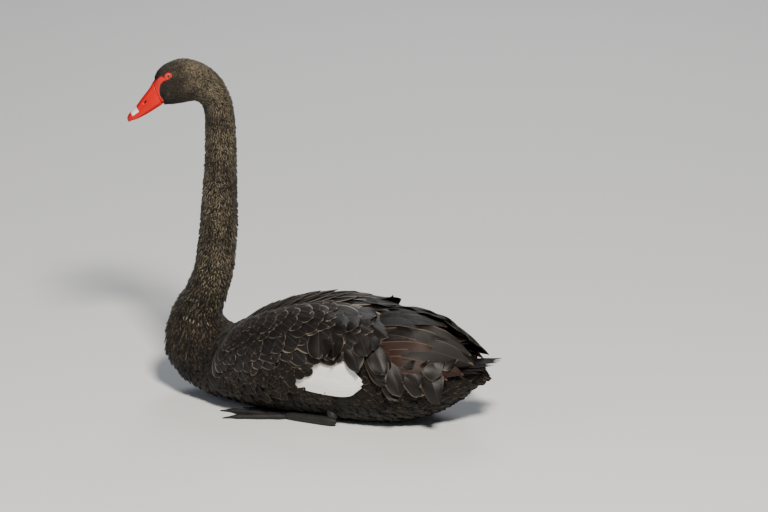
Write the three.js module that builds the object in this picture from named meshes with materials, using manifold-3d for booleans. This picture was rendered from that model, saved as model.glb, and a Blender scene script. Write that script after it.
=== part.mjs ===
// A black swan resting on its belly, life size, in millimetres.
// It faces -X, its tail is towards +X, its left side is towards -Y and +Z is up.
// The origin is on the floor, under the flat that the belly rests on.
import * as THREE from "three";
import { mergeVertices } from "three/addons/utils/BufferGeometryUtils.js";
import Module from "manifold-3d";

const wasm = await Module();
wasm.setup();

// Gap between pieces that touch, and how much a piece is grown before it cuts its neighbour.
const GAP = 0.3;
const CLEARANCE = 0.5;

// The head is turned to the left, about the upright axis of the neck.
const HEAD_TURN = THREE.MathUtils.degToRad(22);
const NECK_AXIS_X = -176;
const TURN_STARTS_Z = 330;
const TURN_ENDS_Z = 500;

// Sections of the body from rump to face: the dorsal and ventral points (x, z), and the half width.
const SECTIONS = [
  { name: "vent", dorsal: [312, 98], ventral: [312, 84], half: 9 },
  { name: "under tail", dorsal: [292, 111], ventral: [290, 66], half: 30 },
  { name: "rump", dorsal: [255, 125], ventral: [255, 38], half: 55 },
  { name: "hips", dorsal: [205, 146], ventral: [205, 13], half: 82 },
  { name: "loin", dorsal: [140, 172], ventral: [140, -2], half: 104 },
  { name: "back", dorsal: [60, 188], ventral: [60, -6], half: 114 },
  { name: "mantle", dorsal: [-20, 180], ventral: [-20, -6], half: 115 },
  { name: "shoulders", dorsal: [-80, 160], ventral: [-80, -4], half: 109 },
  { name: "crop", dorsal: [-118, 143], ventral: [-130, 1], half: 98 },
  { name: "low breast", dorsal: [-143, 131], ventral: [-190, 9], half: 84 },
  { name: "breast", dorsal: [-155, 125], ventral: [-243, 33], half: 68 },
  { name: "breast front", dorsal: [-161, 123], ventral: [-272, 72], half: 56 },
  { name: "neck foot", dorsal: [-166, 125], ventral: [-273, 110], half: 48 },
  { name: "neck root", dorsal: [-173, 130], ventral: [-263, 143], half: 42 },
  { name: "neck bend", dorsal: [-179, 142], ventral: [-251, 167], half: 38 },
  { name: "low neck", dorsal: [-170, 172], ventral: [-233, 196], half: 34.5 },
  { name: "neck at a quarter", dorsal: [-156, 223], ventral: [-218, 236], half: 32 },
  { name: "neck at a half", dorsal: [-149, 291], ventral: [-210, 296], half: 30.5 },
  { name: "high neck", dorsal: [-148, 360], ventral: [-204, 362], half: 28 },
  { name: "neck top", dorsal: [-148, 420], ventral: [-200, 421], half: 26 },
  { name: "throat bend", dorsal: [-149, 466], ventral: [-199, 464], half: 24.7 },
  { name: "nape foot", dorsal: [-151, 503], ventral: [-199.5, 496], half: 24 },
  { name: "nape", dorsal: [-157, 533], ventral: [-202, 512], half: 23.8 },
  { name: "nape top", dorsal: [-171, 562], ventral: [-207, 522], half: 24 },
  { name: "back of the head", dorsal: [-191, 583], ventral: [-216, 527], half: 24.5 },
  { name: "hind crown", dorsal: [-214, 595.5], ventral: [-227, 526], half: 25 },
  { name: "crown", dorsal: [-239, 600], ventral: [-241, 523], half: 25 },
  { name: "eyes", dorsal: [-263, 592.5], ventral: [-255, 521], half: 24 },
  { name: "forehead", dorsal: [-279.5, 580], ventral: [-263.5, 520.5], half: 21 },
  { name: "bill foot", dorsal: [-288.4, 562], ventral: [-270, 519.5], half: 17.5 },
];
// Below 1 a section is fuller than an ellipse.
const BODY_FULLNESS = 0.92;

// Where the nodes of the trunk, neck and head meet, as places along SECTIONS.
const NECK_ROOT = 13.5;
const NECK_THIRD = 16.6;
const NECK_TWO_THIRDS = 19.2;
const HEAD_BACK = 22.8;

// Catmull-Rom curve through a list of numbers, at a place that counts the list's own steps.
function along(values, place) {
  const i = THREE.MathUtils.clamp(Math.floor(place), 0, values.length - 2);
  const t = place - i;
  const b = values[i];
  const c = values[i + 1];
  const a = i > 0 ? values[i - 1] : 2 * b - c;
  const d = i + 2 < values.length ? values[i + 2] : 2 * c - b;
  const slope = c - a;
  const bend = 2 * a - 5 * b + 4 * c - d;
  const swing = 3 * b - a - 3 * c + d;
  return b + 0.5 * (slope * t + bend * t * t + swing * t ** 3);
}

const trackOf = (end, axis) => SECTIONS.map((section) => section[end][axis]);
const TRACKS = ["dorsal", "ventral"].flatMap((end) => [trackOf(end, 0), trackOf(end, 1)]);
const HALVES = SECTIONS.map((s) => s.half);

// The section at a place: its dorsal and ventral points and its half width, grown by a margin.
function sectionAt(place, margin = 0) {
  const [dx, dz, vx, vz] = TRACKS.map((track) => along(track, place));
  const centre = new THREE.Vector3((dx + vx) / 2, 0, (dz + vz) / 2);
  const up = new THREE.Vector3(dx - vx, 0, dz - vz);
  const reach = up.length() / 2 + margin;
  return { centre, up: up.normalize(), reach, half: along(HALVES, place) + margin };
}

const full = (v, power) => Math.sign(v) * Math.abs(v) ** power;

// The head and upper neck, turned to the left about the neck's own axis.
function turned(p) {
  const angle = HEAD_TURN * THREE.MathUtils.smoothstep(p.z, TURN_STARTS_Z, TURN_ENDS_Z);
  const x = p.x - NECK_AXIS_X;
  return new THREE.Vector3(
    NECK_AXIS_X + x * Math.cos(angle) - p.y * Math.sin(angle),
    x * Math.sin(angle) + p.y * Math.cos(angle),
    p.z,
  );
}

// A point of the body: the place along SECTIONS, the angle from the back round to the left, and the share out
// from the middle. Nothing goes below the floor, which leaves the flat of the belly.
function bodyPoint(place, angle, share = 1, margin = 0) {
  const { centre, up, reach, half } = sectionAt(place, margin);
  const p = centre.clone().addScaledVector(up, share * reach * full(Math.cos(angle), BODY_FULLNESS));
  p.y = -share * half * full(Math.sin(angle), BODY_FULLNESS);
  p.z = Math.max(p.z, 0);
  return turned(p);
}

// A closed three.js geometry as a manifold solid, with its faces outwards.
function solidOf(geometry) {
  const bare = new THREE.BufferGeometry().setAttribute("position", geometry.getAttribute("position"));
  bare.setIndex(geometry.index);
  const merged = mergeVertices(bare, 1e-4);
  const vertProperties = merged.attributes.position.array;
  const kept = [];
  const flipped = [];
  const index = merged.index.array;
  for (let i = 0; i < index.length; i += 3) {
    const [a, b, c] = index.subarray(i, i + 3);
    if (a === b || b === c || c === a) continue;
    kept.push(a, b, c);
    flipped.push(a, c, b);
  }
  const meshOf = (list) => new wasm.Mesh({ numProp: 3, vertProperties, triVerts: new Uint32Array(list) });
  const solid = new wasm.Manifold(meshOf(kept));
  return solid.volume() > 0 ? solid : new wasm.Manifold(meshOf(flipped));
}

// A manifold solid as a geometry, of which only the largest closed body is kept.
function geometryOf(solid) {
  const [largest] = solid.decompose().sort((a, b) => b.volume() - a.volume());
  const mesh = largest.getMesh();
  const geometry = new THREE.BufferGeometry();
  geometry.setAttribute("position", new THREE.BufferAttribute(mesh.vertProperties, 3));
  geometry.setIndex(new THREE.BufferAttribute(mesh.triVerts, 1));
  return geometry;
}

// A closed tube: place(t, angle, share) gives each point, with t from 0 to 1 along it.
function tube(segments, rings, place) {
  const geometry = new THREE.CylinderGeometry(1, 1, 1, segments, rings);
  const points = geometry.attributes.position;
  for (let i = 0; i < points.count; i++) {
    const share = Math.hypot(points.getX(i), points.getZ(i));
    const angle = Math.atan2(points.getX(i), points.getZ(i));
    const p = place(points.getY(i) + 0.5, angle, share);
    points.setXYZ(i, p.x, p.y, p.z);
  }
  return solidOf(geometry);
}

// A length of the body between two places, set off by the gap from the length behind it.
function bodyLength(from, to, rings, segments, { gap = 0, margin = 0 } = {}) {
  const heading = sectionAt(from).up.clone().applyAxisAngle(new THREE.Vector3(0, 1, 0), -Math.PI / 2);
  const start = sectionAt(from).centre;
  const shift = turned(start.clone().addScaledVector(heading, gap)).sub(turned(start));
  return tube(segments, rings, (t, angle, share) => {
    const p = bodyPoint(from + (to - from) * t, angle, share, margin);
    return p.addScaledVector(shift, 1 - t);
  });
}

// A thin plate, split alike on both faces: place(t, across, side) gives each point, with t from 0 at the root
// to 1 at the tip, across from -1 to 1, and side 1 on the outer face and -1 on the inner one.
function plate(steps, across, place) {
  const sheet = new THREE.PlaneGeometry(1, 1, across, steps);
  const flat = sheet.attributes.position;
  const count = flat.count;
  const positions = [];
  for (const side of [1, -1])
    for (let i = 0; i < count; i++) positions.push(...place(flat.getY(i) + 0.5, 2 * flat.getX(i), side));
  const index = [];
  for (let i = 0; i < sheet.index.count; i += 3) {
    const [a, b, c] = sheet.index.array.subarray(i, i + 3);
    index.push(a, b, c, a + count, c + count, b + count);
  }
  const row = across + 1;
  const rim = [];
  for (let i = 0; i < across; i++) rim.push(i);
  for (let i = 0; i < steps; i++) rim.push(i * row + across);
  for (let i = across; i > 0; i--) rim.push(steps * row + i);
  for (let i = steps; i > 0; i--) rim.push(i * row);
  rim.forEach((a, i) => {
    const b = rim[(i + 1) % rim.length];
    index.push(a, b, b + count, a, b + count, a + count);
  });
  const geometry = new THREE.BufferGeometry();
  geometry.setAttribute("position", new THREE.Float32BufferAttribute(positions, 3));
  geometry.setIndex(index);
  return solidOf(geometry);
}

const union = (solids) => wasm.Manifold.union(solids);
const mirrored = (solid) => solid.mirror([0, 1, 0]);

// Distance rearwards along the flank, from the foot of the neck, at each place along SECTIONS.
const FLANK_STEPS = 240;
const FLANK_END = 13;
const flankTable = [{ place: FLANK_END, distance: 0 }];
for (let i = 1; i <= FLANK_STEPS; i++) {
  const place = FLANK_END * (1 - i / FLANK_STEPS);
  const last = flankTable[i - 1];
  const step = bodyPoint(place, Math.PI / 2).distanceTo(bodyPoint(last.place, Math.PI / 2));
  flankTable.push({ place, distance: last.distance + step });
}

function placeAtDistance(distance) {
  const i = flankTable.findIndex((entry) => entry.distance >= distance);
  if (i < 0) return 0;
  if (i === 0) return FLANK_END;
  const a = flankTable[i - 1];
  const b = flankTable[i];
  return a.place + ((b.place - a.place) * (distance - a.distance)) / (b.distance - a.distance);
}

// The left wing lies over the flank. Distances run rearwards, angles from the back downwards.
const WING = { front: 104, rear: 520, topAngle: 0.14, lowAngle: 1.38, thick: 13, sink: 3, endSpread: 0.14 };
const WHITE_SHOWS = { rise: 0.2, from: 240, to: 300 };

// How far the wing stands off the body at a distance along the flank and an angle round it.
function wingLift(distance, angle) {
  const run = (2 * (distance - WING.front)) / (WING.rear - WING.front) - 1;
  const turn = (2 * (angle - WING.topAngle)) / (WING.lowAngle - WING.topAngle) - 1;
  const lens = Math.max(0, 1 - run ** 4) * Math.max(0, 1 - turn ** 4);
  return WING.thick * Math.sqrt(lens);
}

// A point over the left flank, lifted off the body by a height.
const flankPoint = (distance, angle, height) => bodyPoint(placeAtDistance(distance), angle, 1, height);

// The wing's lower edge, which is higher where the white feathers show below it.
function wingLow(distance) {
  const raised = THREE.MathUtils.smoothstep(distance, WHITE_SHOWS.from, WHITE_SHOWS.to);
  return WING.lowAngle - WHITE_SHOWS.rise * raised;
}

// The smooth body of the folded wing, sunk a little into the trunk, which is cut away from it later.
function wingCore(margin = 0) {
  return tube(14, 12, (t, around, share) => {
    const run = Math.cos(Math.PI * t);
    const distance = (WING.front + WING.rear) / 2 - run * ((WING.rear - WING.front) / 2 + margin);
    const spread = Math.max(WING.endSpread, Math.sqrt(1 - run ** 4));
    const low = wingLow(distance);
    const middle = (WING.topAngle + low) / 2;
    const angle = middle + Math.sin(around) * spread * share * ((low - WING.topAngle) / 2);
    const outer = Math.sqrt(Math.max(0, Math.cos(around))) * WING.thick * spread * share;
    return flankPoint(distance, angle, Math.abs(around) < Math.PI / 2 ? outer + margin : -WING.sink);
  });
}

// Varied numbers from -1 to 1 that are the same on each run.
const SEED_FACTOR = 16807;
const SEED_RANGE = 2147483647;
function seeded(seed) {
  let state = seed;
  return () => {
    state = (state * SEED_FACTOR) % SEED_RANGE;
    return (2 * state) / SEED_RANGE - 1;
  };
}

// The outline of a vane: its half width at a share of its length, as a share of its widest.
const WIDEST = 0.6;
const ROOT_WIDTH = 0.5;
const TIP_WIDTH = 0.3;
const TIP_POWER = 2.4;
function vaneWidth(t) {
  if (t < WIDEST) return ROOT_WIDTH + (1 - ROOT_WIDTH) * Math.sin((t / WIDEST) * (Math.PI / 2));
  const past = ((t - WIDEST) / (1 - WIDEST)) ** TIP_POWER;
  return Math.sqrt(1 - past * (1 - TIP_WIDTH ** 2));
}

// A feather that lies over the flank: its root (distance, angle), the slant it points at below straight back,
// its length and width, the heights of root and tip over the body, and how far its sides droop.
const VANE = { steps: 3, across: 2, roundTip: 0.1, riseEase: 0.8 };
function flankVane(feather) {
  const { distance, angle, slant, length, width, rootHeight, tipHeight } = feather;
  const { thick = 1, droop = 1.5, margin = 0 } = feather;
  return plate(VANE.steps, VANE.across, (t, across, side) => {
    const s = t * length * (1 - VANE.roundTip * across * across * t) + margin * (2 * t - 1);
    const w = across * ((width / 2) * vaneWidth(t) + margin);
    const back = s * Math.cos(slant) - w * Math.sin(slant);
    const down = s * Math.sin(slant) + w * Math.cos(slant);
    const { reach, half } = sectionAt(placeAtDistance(distance + back));
    const rise = rootHeight + (tipHeight - rootHeight) * t ** VANE.riseEase - droop * across * across;
    const radius = (reach + half) / 2;
    return flankPoint(distance + back, angle + down / radius, rise + side * (thick / 2 + margin));
  });
}

// Rows of covert and scapular feathers on the left wing, from the top of the back down.
const COVERT_ROWS = [
  { angle: 0.24, from: 150, to: 400, count: 4, slant: 0.04, length: 90, width: 46 },
  { angle: 0.5, from: 134, to: 400, count: 5, slant: 0.12, length: 80, width: 48 },
  { angle: 0.76, from: 120, to: 400, count: 5, slant: 0.2, length: 70, width: 44 },
  { angle: 1.0, from: 114, to: 380, count: 5, slant: 0.24, length: 66, width: 42 },
  { angle: 1.2, from: 122, to: 290, count: 4, slant: 0.34, length: 60, width: 40 },
];

// How much one covert differs from the next, how deep its root is sunk, how far its tip stands off the wing,
// and how much longer it is towards the rear.
const COVERT_VARIES = { distance: 3, angle: 0.02, slant: 0.06, length: 0.06, width: 0.05, tip: 0.8 };
const COVERT_ROOT = { inset: 6, sink: 2.5 };
const COVERT_TIP = { below: 0.3, insideEdge: 0.15, leastLift: 5, standsOff: 2.6 };
const COVERT_LENGTH = { front: 0.8, gain: 0.25 };

function covertVanes() {
  const random = seeded(11);
  const vanes = [];
  COVERT_ROWS.forEach((row, r) => {
    for (let i = 0; i < row.count; i++) {
      const share = (i + (r % 2 ? 0.5 : 0)) / row.count;
      const distance = row.from + (row.to - row.from) * share + COVERT_VARIES.distance * random();
      const root = wingLift(distance + COVERT_ROOT.inset, row.angle);
      const tipAngle = Math.min(row.angle + COVERT_TIP.below, WING.lowAngle - COVERT_TIP.insideEdge);
      const tip = Math.max(wingLift(distance + row.length, tipAngle), COVERT_TIP.leastLift);
      const longer = COVERT_LENGTH.front + COVERT_LENGTH.gain * share;
      vanes.push({
        distance,
        angle: row.angle + COVERT_VARIES.angle * random(),
        slant: row.slant + COVERT_VARIES.slant * random(),
        length: row.length * (1 + COVERT_VARIES.length * random()) * longer,
        width: row.width * (1 + COVERT_VARIES.width * random()),
        rootHeight: root - COVERT_ROOT.sink,
        tipHeight: tip + COVERT_TIP.standsOff + COVERT_VARIES.tip * random(),
      });
    }
  });
  return vanes;
}

// The white flight feathers that show below the wing, lying one over the next.
const FLIGHT = { distance: 280, angle: 1.33, slant: 0.03, length: 134, width: 46, count: 3, droop: 0.8 };
const FLIGHT_STEP = { distance: 4, angle: 0.18, slant: -0.02, height: -0.9, shorter: 6 };
const FLIGHT_HEIGHT = { root: 4.6, tip: 5.4, thick: 1.3 };
function flightVanes(margin = 0) {
  const vanes = [];
  for (let i = 0; i < FLIGHT.count; i++)
    vanes.push(
      flankVane({
        distance: FLIGHT.distance + FLIGHT_STEP.distance * i,
        angle: FLIGHT.angle + FLIGHT_STEP.angle * i,
        slant: FLIGHT.slant + FLIGHT_STEP.slant * i,
        length: FLIGHT.length - FLIGHT_STEP.shorter * (i - 1) ** 2,
        width: FLIGHT.width,
        rootHeight: FLIGHT_HEIGHT.root + FLIGHT_STEP.height * i,
        tipHeight: FLIGHT_HEIGHT.tip + FLIGHT_STEP.height * i,
        thick: FLIGHT_HEIGHT.thick,
        droop: FLIGHT.droop,
        margin,
      }),
    );
  return union(vanes);
}

// The long, broad feathers that leave the wing and curl over the rump. Each has its root inside the wing, a
// place it passes half way, its tip, how far its face leans out to the left, its width and its curl.
const TERTIALS = [
  { root: [128, -98, 104], middle: [206, -90, 112], tip: [268, -62, 100], lean: 1.4, width: 40, curl: 4 },
  { root: [122, -92, 124], middle: [214, -84, 132], tip: [290, -44, 106], lean: 1.2, width: 44, curl: 5 },
  { root: [112, -78, 146], middle: [212, -70, 154], tip: [304, -30, 118], lean: 0.9, width: 46, curl: 6 },
  { root: [106, -60, 160], middle: [206, -52, 172], tip: [294, -22, 132], lean: 0.65, width: 46, curl: 7 },
  { root: [100, -44, 167], middle: [192, -37, 184], tip: [272, -16, 150], lean: 0.4, width: 46, curl: 8 },
  { root: [96, -28, 171], middle: [174, -22, 191], tip: [246, -13, 172], lean: 0.2, width: 42, curl: 7 },
];
const TERTIAL = { thick: 1.2, camber: 5, roundTip: 0.05, curlFrom: 0.6, curlGain: 4 };
// The ruffle tilts the vane from side to side: its height, and its turn along the vane and to the next one.
const RUFFLE = { height: 2.5, along: 5, step: 2 };

function tertialVane({ root, middle, tip, lean, width, curl }, order) {
  const [a, b, c] = [root, middle, tip].map((p) => new THREE.Vector3(...p));
  const control = b.clone().multiplyScalar(2).sub(a.clone().add(c).multiplyScalar(0.5));
  const spine = new THREE.QuadraticBezierCurve3(a, control, c);
  const out = new THREE.Vector3(0, -Math.sin(lean), Math.cos(lean));
  return plate(4, 2, (t, across, face) => {
    const tangent = spine.getTangent(t);
    const side = tangent.clone().cross(out).normalize();
    const normal = side.clone().cross(tangent);
    const w = across * (width / 2) * vaneWidth(t);
    const sag = TERTIAL.camber * across * across * t;
    const ruffle = RUFFLE.height * across * Math.sin(RUFFLE.along * t + RUFFLE.step * order);
    const curled = curl * TERTIAL.curlGain * Math.max(0, t - TERTIAL.curlFrom) ** 2;
    const rise = ruffle - sag + curled + (face * TERTIAL.thick) / 2;
    const p = spine.getPoint(t * (1 - TERTIAL.roundTip * across * across));
    return p.addScaledVector(side, w).addScaledVector(normal, rise);
  });
}

// The tail: a fan of stiff feathers over the rump, and the coverts below it.
const TAIL = { root: [236, 104], tip: [341, 121], spread: 0.3, rootWidth: 16, count: 7 };
const TAIL_VANE = { width: 27, thick: 1.2, camber: 1.5, roundTip: 0.08 };
const TAIL_FAN = { shorterSides: 0.12, sideDrop: 9, stagger: 0.8 };
function tailVanes(margin = 0) {
  const vanes = [];
  for (let i = 0; i < TAIL.count; i++) {
    const share = (2 * i) / (TAIL.count - 1) - 1;
    const angle = TAIL.spread * share;
    const length = (TAIL.tip[0] - TAIL.root[0]) * (1 - TAIL_FAN.shorterSides * share * share);
    const stagger = i % 2 ? TAIL_FAN.stagger : 0;
    vanes.push(
      plate(3, 2, (t, across, side) => {
        const s = t * length * (1 - TAIL_VANE.roundTip * across * across * t) + margin * (2 * t - 1);
        const w = across * ((TAIL_VANE.width / 2) * vaneWidth(t) + margin);
        const drop = (TAIL_FAN.sideDrop * share * share + TAIL_VANE.camber * across * across) * t;
        const z = TAIL.root[1] + (TAIL.tip[1] - TAIL.root[1]) * t - drop + stagger;
        const x = TAIL.root[0] + s * Math.cos(angle) - w * Math.sin(angle);
        const y = -TAIL.rootWidth * share - s * Math.sin(angle) - w * Math.cos(angle);
        return new THREE.Vector3(x, y, z + side * (TAIL_VANE.thick / 2 + margin));
      }),
    );
  }
  return union(vanes);
}

// Places on the head: forward along the bill from the eye, upwards square to it, and to the left.
const EYE = { x: -261, z: 575, side: 15.3, radius: 7.5 };
const BILL_DIP = THREE.MathUtils.degToRad(40);
function headPoint(forward, above, left) {
  const ahead = forward * Math.cos(BILL_DIP) + above * Math.sin(BILL_DIP);
  const rise = above * Math.cos(BILL_DIP) - forward * Math.sin(BILL_DIP);
  return turned(new THREE.Vector3(EYE.x - ahead, -left, EYE.z + rise));
}

// Stations of the bill: its ridge, its mouth line and its lower edge, as forward and above, and half widths.
const BILL = [
  { ridge: [29.95, 6.8], mouth: [40.5, -29], under: [41.9, -34.2], half: 15.6, lowHalf: 13 },
  { ridge: [36, 3.4], mouth: [46, -28.6], under: [47, -34], half: 15.3, lowHalf: 12.6 },
  { ridge: [44, 0.4], mouth: [52, -28], under: [53, -33.4], half: 15, lowHalf: 12 },
  { ridge: [61, -3.6], mouth: [65, -26.8], under: [65.5, -32], half: 14.4, lowHalf: 11.4 },
  { ridge: [74, -7], mouth: [76, -25.6], under: [76, -30.4], half: 13.8, lowHalf: 10.8 },
  { ridge: [85, -10], mouth: [86, -24.4], under: [86, -28.4], half: 13, lowHalf: 9.8 },
  { ridge: [95, -10.8], mouth: [94.5, -23.2], under: [94, -26.4], half: 11.8, lowHalf: 8 },
  { ridge: [102, -12.4], mouth: [101, -21.9], under: [100, -24.2], half: 9.6, lowHalf: 5.6 },
  { ridge: [106.4, -15.4], mouth: [105.6, -21.6], under: [103.5, -22.8], half: 6.4, lowHalf: 3 },
  { ridge: [108.6, -19.6], mouth: [108.2, -22.4], under: [105, -22.2], half: 2, lowHalf: 1 },
];
const billTrack = (key, k, place) => along(BILL.map((s) => (k === null ? s[key] : s[key][k])), place);

// One jaw of the bill: flat at the mouth line and rounded away from it.
const JAW = { parting: 0.4, domeFullness: 0.8, sideFullness: 0.85 };
function jaw(upper) {
  const edge = upper ? "ridge" : "under";
  const parting = upper ? 0 : JAW.parting;
  return tube(16, 10, (t, angle, share) => {
    const place = t * (BILL.length - 1);
    const half = billTrack(upper ? "half" : "lowHalf", null, place);
    const rise = share * Math.max(0, Math.cos(angle)) ** JAW.domeFullness;
    const forward = billTrack("mouth", 0, place) * (1 - rise) + billTrack(edge, 0, place) * rise;
    const mouth = billTrack("mouth", 1, place) - parting;
    const above = mouth * (1 - rise) + billTrack(edge, 1, place) * rise;
    return headPoint(forward + GAP, above, share * half * full(Math.sin(angle), JAW.sideFullness));
  });
}

const NOSTRIL = { forward: 62, above: -11, left: 13, length: 4.6, height: 1.5, depth: 2.4, dip: 0.25 };
function nostrils() {
  return union(
    [1, -1].map((side) => {
      const slot = new THREE.SphereGeometry(1, 12, 8);
      const points = slot.attributes.position;
      for (let i = 0; i < points.count; i++) {
        const ahead = points.getX(i) * NOSTRIL.length;
        const above = NOSTRIL.above + points.getZ(i) * NOSTRIL.height - NOSTRIL.dip * ahead;
        const left = NOSTRIL.left + points.getY(i) * NOSTRIL.depth;
        const p = headPoint(NOSTRIL.forward + ahead, above, side * left);
        points.setXYZ(i, p.x, p.y, p.z);
      }
      return solidOf(slot);
    }),
  );
}

// A ball at a place on the head, and the ring of the lids round it.
function ball(side, radius) {
  const centre = headPoint(0, 0, side * EYE.side);
  return solidOf(new THREE.SphereGeometry(radius, 14, 8).rotateX(Math.PI / 2).translate(...centre));
}
const LID = { radius: 5.4, tube: 1.4, left: 20.8 };
function lids(side) {
  const ring = new THREE.TorusGeometry(LID.radius, LID.tube, 5, 14);
  ring.rotateX(Math.PI / 2).rotateZ(HEAD_TURN);
  return solidOf(ring.translate(...headPoint(0, 0, side * LID.left)));
}

// A rounded limb between two points, flat where it meets the floor.
const LIMB_END = { share: 0.25, power: 6 };
function limb(from, to, fromRadius, toRadius, segments = 7) {
  const start = new THREE.Vector3(...from);
  const end = new THREE.Vector3(...to);
  const axis = end.clone().sub(start).normalize();
  const sideways = new THREE.Vector3(0, 0, 1).cross(axis).normalize();
  const above = axis.clone().cross(sideways);
  return tube(segments, 4, (t, angle, share) => {
    const run = Math.cos(Math.PI * t);
    const radius = THREE.MathUtils.lerp(fromRadius, toRadius, t);
    const round = Math.sqrt(1 - Math.abs(run) ** LIMB_END.power);
    const swell = Math.max(LIMB_END.share, round) * radius * share;
    const p = start.clone().lerp(end, (1 - run) / 2);
    p.addScaledVector(sideways, swell * Math.sin(angle)).addScaledVector(above, swell * Math.cos(angle));
    p.z = Math.max(p.z, 0);
    return p;
  });
}

// The left leg, folded under the belly, with its sole on the floor.
const HEEL = [70, -90, 11];
const SHIN = { top: [58, -78, 38], topRadius: 9, heelRadius: 8.5 };
const SHANK = { rear: [77, -91, 9], rearRadius: 8.5, footRadius: 6.5 };
const FOOT = [-22, -86, 7];
const TOES = [
  { name: "middle", tip: [-128, -90], radius: 5.2 },
  { name: "outer", tip: [-110, -120], radius: 4.6 },
  { name: "inner", tip: [-98, -64], radius: 4.4 },
];
const TOE = { rootX: 6, rootZ: 5, rootRadius: 6, tipZ: 0.7, tipRadius: 0.8 };
const HIND_TOE = { root: [-18, -83, 4.5], tip: [4, -72, 2.6], rootRadius: 4, tipRadius: 2.8 };
const WEB = { thick: 3, notch: 0.16, from: 0.06, reach: 0.92 };
const CLAW = { length: 12, radius: 2.6, tipRadius: 0.9, rootZ: 3, tipZ: 0.8, sunk: 4 };

function leg() {
  const shin = limb(SHIN.top, HEEL, SHIN.topRadius, SHIN.heelRadius, 9);
  const shank = limb(SHANK.rear, FOOT, SHANK.rearRadius, SHANK.footRadius, 9);
  const pieces = [shin, shank];
  const foot = new THREE.Vector2(FOOT[0], FOOT[1]);
  for (const toe of TOES) {
    const tip = new THREE.Vector2(...toe.tip);
    const ahead = tip.clone().sub(foot).normalize();
    const claw = tip.clone().addScaledVector(ahead, CLAW.length);
    const joint = tip.clone().addScaledVector(ahead, -CLAW.sunk);
    const root = [foot.x + TOE.rootX, foot.y, TOE.rootZ];
    pieces.push(limb(root, [...tip, toe.radius * TOE.tipZ], TOE.rootRadius, toe.radius * TOE.tipRadius));
    pieces.push(limb([...joint, CLAW.rootZ], [...claw, CLAW.tipZ], CLAW.radius, CLAW.tipRadius, 6));
  }
  pieces.push(limb(HIND_TOE.root, HIND_TOE.tip, HIND_TOE.rootRadius, HIND_TOE.tipRadius));
  const [middle, outer, inner] = TOES.map((toe) => new THREE.Vector2(...toe.tip));
  for (const [first, second] of [[middle, outer], [inner, middle]]) {
    pieces.push(
      plate(3, 2, (t, across, side) => {
        const edge = first.clone().lerp(second, (across + 1) / 2);
        const reach = WEB.from + t * (WEB.reach - WEB.notch * (1 - across * across));
        const p = foot.clone().lerp(edge, reach);
        return new THREE.Vector3(p.x, p.y, side > 0 ? WEB.thick : 0);
      }),
    );
  }
  return union(pieces);
}

const swan = new THREE.Group();
swan.name = "black_swan";

function add(name, solid, color, roughness) {
  const geometry = geometryOf(solid);
  const mesh = new THREE.Mesh(geometry, new THREE.MeshStandardMaterial({ color, roughness, metalness: 0 }));
  mesh.name = name;
  swan.add(mesh);
}

const BLACK = "#1d1916";
const BROWN_BLACK = "#2a2421";
const WHITE = "#efece4";
const BILL_RED = "#c3182b";
const EYE_RED = "#a3241f";
const FOOT_BLACK = "#1b1a1b";

// The trunk is parted from the tail across the rump. The solids that cut the joint reach a little past it.
const RUMP = 2.4;
const PAST_RUMP = 0.01;
const TAIL_GAP = { places: 0.03, margin: 0.01 };
const TRUNK_RINGS = 23;
const TAIL_RINGS = 6;
const BODY_SEGMENTS = 28;
const NECK_SEGMENTS = 20;

const trunk = bodyLength(RUMP, NECK_ROOT, TRUNK_RINGS, BODY_SEGMENTS);
const grownTrunk = union([
  bodyLength(RUMP - PAST_RUMP, NECK_ROOT, TRUNK_RINGS, BODY_SEGMENTS, { margin: CLEARANCE }),
  bodyLength(0, RUMP, TAIL_RINGS, BODY_SEGMENTS, { margin: CLEARANCE }),
]);

const flight = flightVanes().subtract(grownTrunk);
const grownFlight = flightVanes(CLEARANCE);
const coverts = covertVanes().map(flankVane);
const tertials = TERTIALS.map(tertialVane);
const grownTail = tailVanes(CLEARANCE);
const trunkAndGap = bodyLength(RUMP - TAIL_GAP.places, NECK_ROOT, TRUNK_RINGS, BODY_SEGMENTS, {
  margin: TAIL_GAP.margin,
});
const tail = union([bodyLength(0, RUMP, TAIL_RINGS, BODY_SEGMENTS), tailVanes()]).subtract(trunkAndGap);
// All that is right of the middle, which the left wing keeps out of.
const HALF_SPACE = 1000;
const rightHalf = solidOf(
  new THREE.BoxGeometry(HALF_SPACE, HALF_SPACE, HALF_SPACE).translate(0, (HALF_SPACE - GAP) / 2, 0),
);
const wing = union([wingCore(), ...coverts, ...tertials])
  .subtract(grownTrunk)
  .subtract(grownFlight)
  .subtract(grownTail)
  .subtract(rightHalf);

const joined = { gap: GAP };
add("torso", trunk, BLACK, 0.85);
add("neck_lower", bodyLength(NECK_ROOT, NECK_THIRD, 9, NECK_SEGMENTS, joined), BROWN_BLACK, 0.85);
add("neck_middle", bodyLength(NECK_THIRD, NECK_TWO_THIRDS, 7, NECK_SEGMENTS, joined), BROWN_BLACK, 0.85);
add("neck_upper", bodyLength(NECK_TWO_THIRDS, HEAD_BACK, 9, NECK_SEGMENTS, joined), BROWN_BLACK, 0.85);
const skull = bodyLength(HEAD_BACK, SECTIONS.length - 1, 13, 22, joined);
const sockets = union([ball(1, EYE.radius + GAP), ball(-1, EYE.radius + GAP)]);
add("head", union([skull, lids(1), lids(-1)]).subtract(sockets), BROWN_BLACK, 0.8);
add("bill_upper", jaw(true).subtract(nostrils()), BILL_RED, 0.3);
add("bill_lower", jaw(false), BILL_RED, 0.3);
add("eye_left", ball(1, EYE.radius), EYE_RED, 0.1);
add("eye_right", ball(-1, EYE.radius), EYE_RED, 0.1);
add("wing_left", wing, BLACK, 0.8);
add("wing_right", mirrored(wing), BLACK, 0.8);
add("primaries_left", flight, WHITE, 0.7);
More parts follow.
